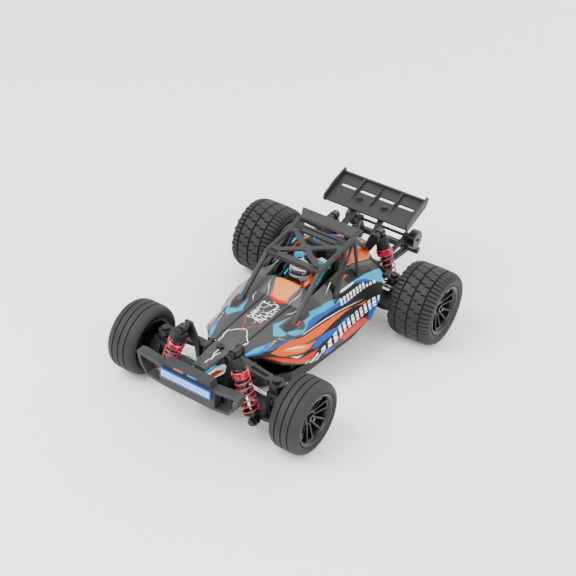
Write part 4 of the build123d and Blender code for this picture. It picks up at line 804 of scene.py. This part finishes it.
def damper_spring(c, top, along, length):
    """Coil between the collar and the lower seat."""
    start, finish = COLLAR_FOOT + 0.7, length - SEAT_TOP - 0.7
    side = Vector((0, 1, 0))
    other = along.cross(side)
    path = []
    for i in range(int(COIL_TURNS * COIL_STEPS) + 1):
        t = i / (COIL_TURNS * COIL_STEPS)
        ramp = min(max((t - END_TURN) / (1 - 2 * END_TURN), 0), 1)
        a = 2 * math.pi * COIL_TURNS * t
        spoke = side * math.cos(a) + other * math.sin(a)
        path.append(top + along * (start + (finish - start) * ramp) + spoke * COIL_R)
    coil = Shape()
    coil.tube(path, WIRE_R, 10)
    spring = coil.piece(f"{c}_spring_coil", SPRING_RED, f"{c}_shock", [f"{c}_shock_spring"], sharp=60)
    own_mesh(spring)


def damper_rod(c, top, along, length):
    """Bright rod, spring seat and lower eye."""
    rod = Shape()
    rod.slot = 1
    rod.rod(top + along * 27.5, top + along * (length - 6), 1.5)
    rod.slot = 0
    lower_seat = [(-SEAT_TOP, 2.2), (-SEAT_TOP, 6.6), (-8.6, 6.9), (-7.4, 6.9), (-7.0, 6.4),
                  (-6.6, 3.4), (-3.6, 2.5), (-2.6, 2.4)]
    rod.lathe([(length + u, r) for u, r in lower_seat], top, along, 40)
    rod.eye(top + along * length, 2.5, 2.5, 4.2)
    rod.piece(f"{c}_damper_rod", [GLOSS_BLACK, SILVER], f"{c}_shock_rod", [f"{c}_shock_rod"], sharp=30)


for corner in CORNERS:
    damper_top, damper_axis, damper_length = damper_line(corner)
    damper_tube(corner, damper_top, damper_axis)
    damper_spring(corner, damper_top, damper_axis, damper_length)
    damper_rod(corner, damper_top, damper_axis, damper_length)


# ---------------------------------------------------------------- roll cage and cockpit
# Corners of the roof and feet of the pillars, on the left.
CAGE_FRONT, CAGE_REAR, CAGE_VISOR = Vector((26, -7.5, 88)), Vector((26.5, 30, 92.5)), Vector((28, 42, 95))
PILLAR_FOOT = Vector((27, -46, 54.5))
SIDE_FEET = (Vector((37.3, 2, 57.5)), Vector((38.2, 38, 57.5)))
ROOF_V = (CAGE_REAR - CAGE_FRONT).normalized()
VISOR_AT, VISOR_NORMAL = Vector((0, 46.5, 97.6)), Vector((0, -0.52, 0.85)).normalized()


def flip(point, side):
    """The point on the left (side 1) or the right (-1)."""
    return Vector((side * point[0], point[1], point[2]))


def roll_cage():
    """Moulded cage of flat bars: cross-braced roof, gussets, corner brackets, pillars and visor plate."""
    cage = Shape()
    pillars = (
        (PILLAR_FOOT, CAGE_FRONT, 3.6, 3.2), (CAGE_FRONT, CAGE_REAR, 3.8, 3.2),
        (CAGE_REAR, CAGE_VISOR, 4.0, 3.2),
        ((37, 2, 57), CAGE_REAR, 3.0, 4.0), ((38, 38, 57), CAGE_VISOR, 2.4, 2.6),
        ((37, 2, 62), (28, 40, 93.4), 2.0, 1.8), (CAGE_VISOR, (18, 82, 61), 2.8, 3.0),
    )
    for side in (-1, 1):
        for start, end, width, depth in pillars:
            cage.bar(flip(start, side), flip(end, side), width, depth)
            cage.bar(flip(start, side), flip(end, side), width * 0.5, depth + 0.7)
        front = flip(CAGE_FRONT, side)
        for joint, reach in ((front, 1), (flip(CAGE_REAR, side), -1)):
            gusset = ((2, -3.2), (2, 8.5), (-2.5, 8.5), (-9.5, 1.8), (-9.5, -3.2))
            cage.plate([(side * u, v * reach) for u, v in gusset], joint, (1, 0, 0), ROOF_V, 2.6)
        cage.bar(front, flip(CAGE_REAR, -side), 4.6, 2.2)
        for foot in SIDE_FEET:
            at = flip(foot, side)
            cage.bar(at - Vector((0, 3.6, 0)), at + Vector((0, 3.6, 0)), 3.4, 4.2, (side, 0, -0.2))
            screw = at - Vector((0, 2.3, 0))
            cage.rod(screw + Vector((side * 1.4, 0, 0.6)), screw + Vector((side * 2.3, 0, 1.0)), 1.1, 12)
        foot = flip(PILLAR_FOOT, side)
        cage.bar(foot + Vector((0, -3.5, -0.4)), foot + Vector((0, 5, 1.6)), 4.6, 2.4)
        cage.rod(front + Vector((0, 0, 0.5)), front + Vector((0, 0, 2.1)), 1.5, 16)
    middle = (CAGE_FRONT + CAGE_REAR) / 2
    cage.plate(((-7.0, 0), (0, -5.0), (7.0, 0), (0, 5.0)), (0, middle.y, middle.z), (1, 0, 0), ROOF_V, 2.3)
    beams = (CAGE_FRONT, 5.6, 2.6), (CAGE_REAR, 4.2, 2.6), (CAGE_REAR + ROOF_V * 5.4, 2.4, 2.2)
    for at, width, depth in beams:
        cage.bar(at, flip(at, -1), width, depth, ROOF_V)
    drop, inset = ROOF_V * 2.6 + Vector((0, 0, 0.9)), Vector((3, 0, 0))
    cage.bar(CAGE_FRONT - drop - inset, flip(CAGE_FRONT, -1) - drop + inset, 2.2, 2.2, ROOF_V)
    back = Vector((1, 0, 0)).cross(VISOR_NORMAL) * -1
    for outline, lift in ((((-27, -5.4), (27, -5.4), (31, 5.2), (-31, 5.2)), 0.0),
                          (((-24.5, -4.2), (24.5, -4.2), (28.2, 4.0), (-28.2, 4.0)), 0.7)):
        cage.plate(outline, VISOR_AT + VISOR_NORMAL * lift, (1, 0, 0), back, 1.5)
    cage.piece("roll_cage_moulding", CAGE, "chassis", ["roll_cage"], bevel=0.35, sharp=30)


HELMET_AT, HELMET_R, HELMET_AXIS = Vector((0, 3, 73.5)), 9.4, (0, 0.16, 1)
STEERING_AT, STEERING_TILT, STEERING_R = Vector((0, -7, 60.8)), Vector((0, -0.55, 0.83)), 6.6


def helmet(shape, at, radius):
    """Full-face helmet: shell of revolution with a crest, a dark visor band, ear caps and a chin bar."""
    shape.slot = 1
    shape.lathe([(-8.6, 4.6), (-7.6, 7.0), (-4.5, 8.7), (0, radius), (4.0, 8.7), (6.8, 6.6), (8.6, 3.6),
                 (9.2, 0.6)], at, HELMET_AXIS, 40)
    shape.bar(at + Vector((0, -8.6, 2.6)), at + Vector((0, 5, 9.0)), 2.6, 1.6)
    shape.slot = 2
    shape.lathe([(-1.6, 7.6), (-1.6, radius + 0.25), (0.4, radius + 0.4), (2.6, radius), (2.6, 7.6)],
                at, HELMET_AXIS, 40)
    shape.slot = 0
    for side in (-1, 1):
        shape.rod(at + Vector((side * 8.2, 0.5, 0.4)), at + Vector((side * 9.9, 0.5, 0.4)), 2.2, 20)
    shape.bar(at + Vector((-4.6, -8.4, -4.6)), at + Vector((4.6, -8.4, -4.6)), 2.4, 3.6, (0, 1, 0))


def seat(s, floor):
    """Floor pan, side plates, back, coloured bolsters and belts."""
    s.slot = 0
    s.box((-19, -10, floor), (19, 33, floor + 1.5))
    for side in (-1, 1):
        s.plate(((-9, 0), (24, 0), (24, 20), (16, 22), (6, 13), (-6, 8)),
                (side * 17.6, 0, floor + 1), (0, 1, 0), (0, 0, 1), 1.6)
    s.plate(((-12, 0), (12, 0), (14.6, 12), (12, 22), (-12, 22), (-14.6, 12)),
            (0, 18.5, floor + 1), (1, 0, 0), (0, 0.16, 1), 3.6)
    s.slot = 3
    for side in (-1, 1):
        s.plate(((0, 0), (4.0, 0), (6.4, 12), (4.4, 24), (-5, 25.5), (-5, 22), (0.5, 20)),
                (side * 12.0, 17.4, floor + 1.6), (side, 0, 0), (0, 0.2, 1), 6.0)
        s.bar((side * 15.2, 4, floor + 9.5), (side * 15.8, 20, floor + 16.0), 1.8, 5.0)
    s.slot = 4
    s.plate(((-8, 0), (8, 0), (6.2, 9), (-6.2, 9)), (0, 23.5, floor + 13.5), (1, 0, 0), (0, 0.35, 1), 2.6)
    s.slot = 5
    for side in (-1, 1):
        s.bar((side * 4.6, -0.6, floor + 7), (side * 4.4, 3.6, floor + 14.2), 1.6, 1.0)


def figure(s, floor):
    """Driver's trunk, neck, arms and helmet."""
    s.slot = 4
    trunk = [(0, 10.2), (3, 11.4), (7.5, 11.0), (11.5, 8.2), (13.6, 5.0)]
    s.lathe(trunk, (0, 9.5, floor + 1.2), (0, 0, 1), 32)
    s.slot = 0
    s.lathe([(0, 5.4), (3.5, 5.0)], (0, 5, floor + 13.4), (0, 0, 1), 24)
    for side in (-1, 1):
        elbow = (side * 12.5, -2, floor + 6.2)
        s.bar((side * 10.6, 8, floor + 8.5), elbow, 5.4, 5.4)
        s.bar(elbow, (side * 5, -6.6, floor + 9.6), 4.6, 4.4)
    helmet(s, HELMET_AT, HELMET_R)


def steering_wheel(s):
    """Three-spoked wheel on its column."""
    s.slot = 0
    right, cross = Vector((1, 0, 0)), STEERING_TILT.cross(Vector((1, 0, 0))).normalized()
    turns = [2 * math.pi * n / 28 for n in range(28)]
    ring = [STEERING_AT + (right * math.cos(a) + cross * math.sin(a)) * STEERING_R for a in turns]
    s.tube(ring, 0.95, 10, closed=True)
    s.bar(STEERING_AT - right * 6, STEERING_AT + right * 6, 2.4, 1.1, cross)
    s.bar(STEERING_AT, STEERING_AT - cross * 6, 2.2, 1.1)
    s.rod(STEERING_AT - STEERING_TILT * 1.0, STEERING_AT + STEERING_TILT * 1.4, 2.4, 20)
    s.rod(STEERING_AT - STEERING_TILT * 8, STEERING_AT, 1.3, 12)


def driver():
    """Driver in a seat, with steering wheel and dash."""
    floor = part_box("driver_figure")[0].z / MM
    s = Shape()
    seat(s, floor)
    figure(s, floor)
    steering_wheel(s)
    s.slot = 4
    s.plate(((-12.4, -2.5), (12.4, -2.5), (10.6, 2.8), (-10.6, 2.8)),
            (0, -9.4, floor + 14.5), (1, 0, 0), (0, -0.35, 1), 1.6)
    slots = [TUB, HELMET, VISOR, CYAN_PAINT, ORANGE_PAINT, DARK_GREY]
    s.piece("driver_and_seat", slots, "chassis", ["driver_figure"], bevel=0.3, sharp=38)


roll_cage()
driver()


# ---------------------------------------------------------------- lamps, bumper trim, wing and arm ribs
LAMPS_IN_ROW = 18
WING_SLOPE = math.radians(20.6)
WING_MIDDLE = Vector((0, 117.7, 83.0))


def led_bar():
    """Slim dark-blue housing with a hood, and two rows of small square lamps."""
    low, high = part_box("led_light_bar")
    low, high = low / MM, high / MM
    face = low.y + 0.75
    bar = Shape()
    bar.box((low.x, face, low.z), (high.x, high.y, high.z))
    bar.slot = 1
    bar.box((low.x + 1.0, face - 0.12, low.z + 0.9), (high.x - 1.0, face + 0.1, high.z - 0.9))
    bar.slot = 0
    for z in (low.z + 0.35, high.z - 0.35):
        bar.box((low.x + 0.2, low.y + 0.15, z - 0.3), (high.x - 0.2, face + 0.2, z + 0.3))
    bar.slot = 2
    margin = 1.7
    pitch = (high.x - low.x - 2 * margin) / LAMPS_IN_ROW
    for row in (low.z + 2.7, high.z - 2.7):
        for n in range(LAMPS_IN_ROW):
            x = low.x + margin + pitch * (n + 0.5)
            bar.box((x - pitch * 0.24, low.y + 0.2, row - 0.6), (x + pitch * 0.24, face, row + 0.6))
    bar.piece("led_bar_lamps", [NAVY, GLOW, LENS], "chassis", ["led_light_bar"], bevel=0.12, sharp=40)


def bumper_panel():
    """Lip and two coloured inserts above the lamps, ribs beside them and a screw head at each end."""
    low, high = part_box("front_bumper")
    face, top = low.y / MM, high.z / MM - 0.7
    lip, insert_z = 21.4, 57.0
    trim = Shape()
    trim.bar((-lip, face + 0.2, top), (lip, face + 0.2, top), 1.2, 1.0, (0, 0, 1))
    for side in (-1, 1):
        trim.bar((side * 23.2, face + 0.1, 55.2), (side * lip, face + 0.1, top), 1.0, 1.0)
        trim.bar((side * 25.6, face + 0.2, 38), (side * 25.6, face + 0.2, 53), 1.2, 0.9)
        trim.rod((side * 43, face - 0.4, 43.6), (side * 43, face + 1, 43.6), 1.3, 16)
    for slot, left, right in ((1, -13, -3.6), (2, 0.6, 9.4)):
        trim.slot = slot
        trim.bar((left, face - 0.1, insert_z), (right, face - 0.1, insert_z), 1.9, 0.5, (0, 0, 1))
    trim.piece("bumper_trim", [CAGE, RUST, DUSK_BLUE], "chassis", bevel=0.2)


def wing_ribs():
    """Full-depth ribs over the wing plate."""
    along = Vector((0, math.cos(WING_SLOPE), math.sin(WING_SLOPE)))
    up = Vector((0, -along.z, along.y))
    rib = ((-9, 0.8), (22.5, 0.8), (22.5, 2.6), (4, 3.0), (-4, 1.7))
    ribs = Shape()
    for x in (-20, 0, 20):
        ribs.plate(rib, WING_MIDDLE + Vector((x, 0, 0)), along, up, 1.0)
    ribs.piece("wing_ribs", WING, "chassis", bevel=0.2)


def arm_ribs(c):
    """Raised ribs along and across an upper arm, and a collar round its outer eye."""
    side = side_of(c)
    low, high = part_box(f"{c}_upper_arm")
    inner = Vector(JOINTS[f"{c}_upper_swing"]["pos_m"]) / MM
    outer = Vector((side * max(abs(low.x), abs(high.x)) / MM - side * 6.2, inner.y, low.z / MM + 1.7))
    along = (outer - inner).normalized()
    lift = along.cross(Vector((0, 1, 0))) * side * -1
    ribs = Shape()
    for offset in (-3.5, 3.5):
        shift = Vector((0, offset, 0)) + lift * 1.9
        ribs.bar(inner + along * 5 + shift, outer - along * 7 + shift, 1.2, 1.6, (0, 1, 0))
    across = inner + along * 6 + lift * 1.8
    ribs.bar(across + Vector((0, -3.5, 0)), across + Vector((0, 3.5, 0)), 1.2, 1.4)
    ribs.lathe([(0, 4.8), (0.5, 5.2), (0.5, 3.6), (0, 3.6)], outer + lift * 1.6, lift, 32, closed=True)
    ribs.piece(f"{c}_upper_arm_ribs", ARM, f"{c}_upper_arm", bevel=0.15)


led_bar()
bumper_panel()
wing_ribs()
for corner in CORNERS:
    arm_ribs(corner)


# ---------------------------------------------------------------- the rest of the CAD pieces
FINISH = {
    "tub_plastic": TUB,
    "arm_plastic": ARM,
    "cage_plastic": CAGE,
    "shaft_steel": STEEL,
    "battery_case": BLUE_CASE,
    "motor_can": SILVER,
    "radio_black": TUB,
    "rim_black": GLOSS_BLACK,
    "lamp": LENS,
    "body_paint": BODY,
    "driver_paint": ORANGE_PAINT,
}
EDGE_ROUND = 0.35
for part in frame["record"]["subparts"]:
    if part["node"] in NODES and part["material_slot"] in FINISH:
        paint(part["node"], FINISH[part["material_slot"]], EDGE_ROUND)
NODES["rear_wing"].data.materials[0] = WING
NODES["screws"].data.materials[0] = BLACK_STEEL
for node in ("tie_rod_left", "tie_rod_right"):
    NODES[node].data.materials[0] = TIE_ROD


# ---------------------------------------------------------------- floor, light and camera
FLOOR_HALF = 4.0
LIGHTS_AIM = Vector((0, 0, 0.04))
AZIMUTH, ELEVATION, ROLL = math.radians(32.81), math.radians(34.9), math.radians(3.21)
CAMERA_AT = Vector((0.4632, -0.7322, 0.6599))
CAMERA_LENS = 77.9


def studio():
    """Pale floor, bright surroundings and three soft area lights: (name, place, size, power)."""
    mesh = bpy.data.meshes.new("floor")
    corners = [(u * FLOOR_HALF, v * FLOOR_HALF, 0) for u, v in ((-1, -1), (1, -1), (1, 1), (-1, 1))]
    mesh.from_pydata(corners, [], [(0, 1, 2, 3)])
    floor = bpy.data.objects.new("floor", mesh)
    bpy.context.scene.collection.objects.link(floor)
    s = Shader("floor", Roughness=0.9, Specular_IOR_Level=0.2)
    s.set("Base Color", s.mix(s.noise(3.0), (0.92, 0.92, 0.92), (0.94, 0.94, 0.94)))
    floor.data.materials.append(s.material)
    world = bpy.data.worlds.new("studio")
    world.use_nodes = True
    background = world.node_tree.nodes["Background"]
    background.inputs["Color"].default_value = (1.0, 1.0, 1.0, 1)
    background.inputs["Strength"].default_value = 1.45
    bpy.context.scene.world = world
    for name, place, size, power in (
        ("key", (-0.5, -0.75, 1.2), 0.9, 30.0),
        ("fill", (1.3, -0.5, 0.9), 1.2, 20.0),
        ("rim", (0.1, 1.2, 1.0), 1.2, 16.0),
    ):
        light = bpy.data.lights.new(name, "AREA")
        light.energy = power
        light.size = size
        holder = bpy.data.objects.new(name, light)
        holder.location = place
        holder.rotation_mode = "QUATERNION"
        holder.rotation_quaternion = (LIGHTS_AIM - Vector(place)).to_track_quat("-Z", "Y")
        bpy.context.scene.collection.objects.link(holder)


def camera():
    """Looks from front left above, at the photograph's angle; the roll tips the horizon slightly."""
    data = bpy.data.cameras.new("camera")
    data.lens, data.sensor_width = CAMERA_LENS, 36.0
    data.clip_start, data.clip_end = 0.05, 20.0
    reach = math.cos(ELEVATION)
    back = Vector((math.sin(AZIMUTH) * reach, -math.cos(AZIMUTH) * reach, math.sin(ELEVATION)))
    level = Vector((math.cos(AZIMUTH), math.sin(AZIMUTH), 0))
    right = Matrix.Rotation(ROLL, 3, back) @ level
    up = back.cross(right)
    obj = bpy.data.objects.new("camera", data)
    obj.matrix_world = Matrix.Translation(CAMERA_AT) @ Matrix((right, up, back)).transposed().to_4x4()
    bpy.context.scene.collection.objects.link(obj)
    bpy.context.scene.camera = obj


studio()
camera()
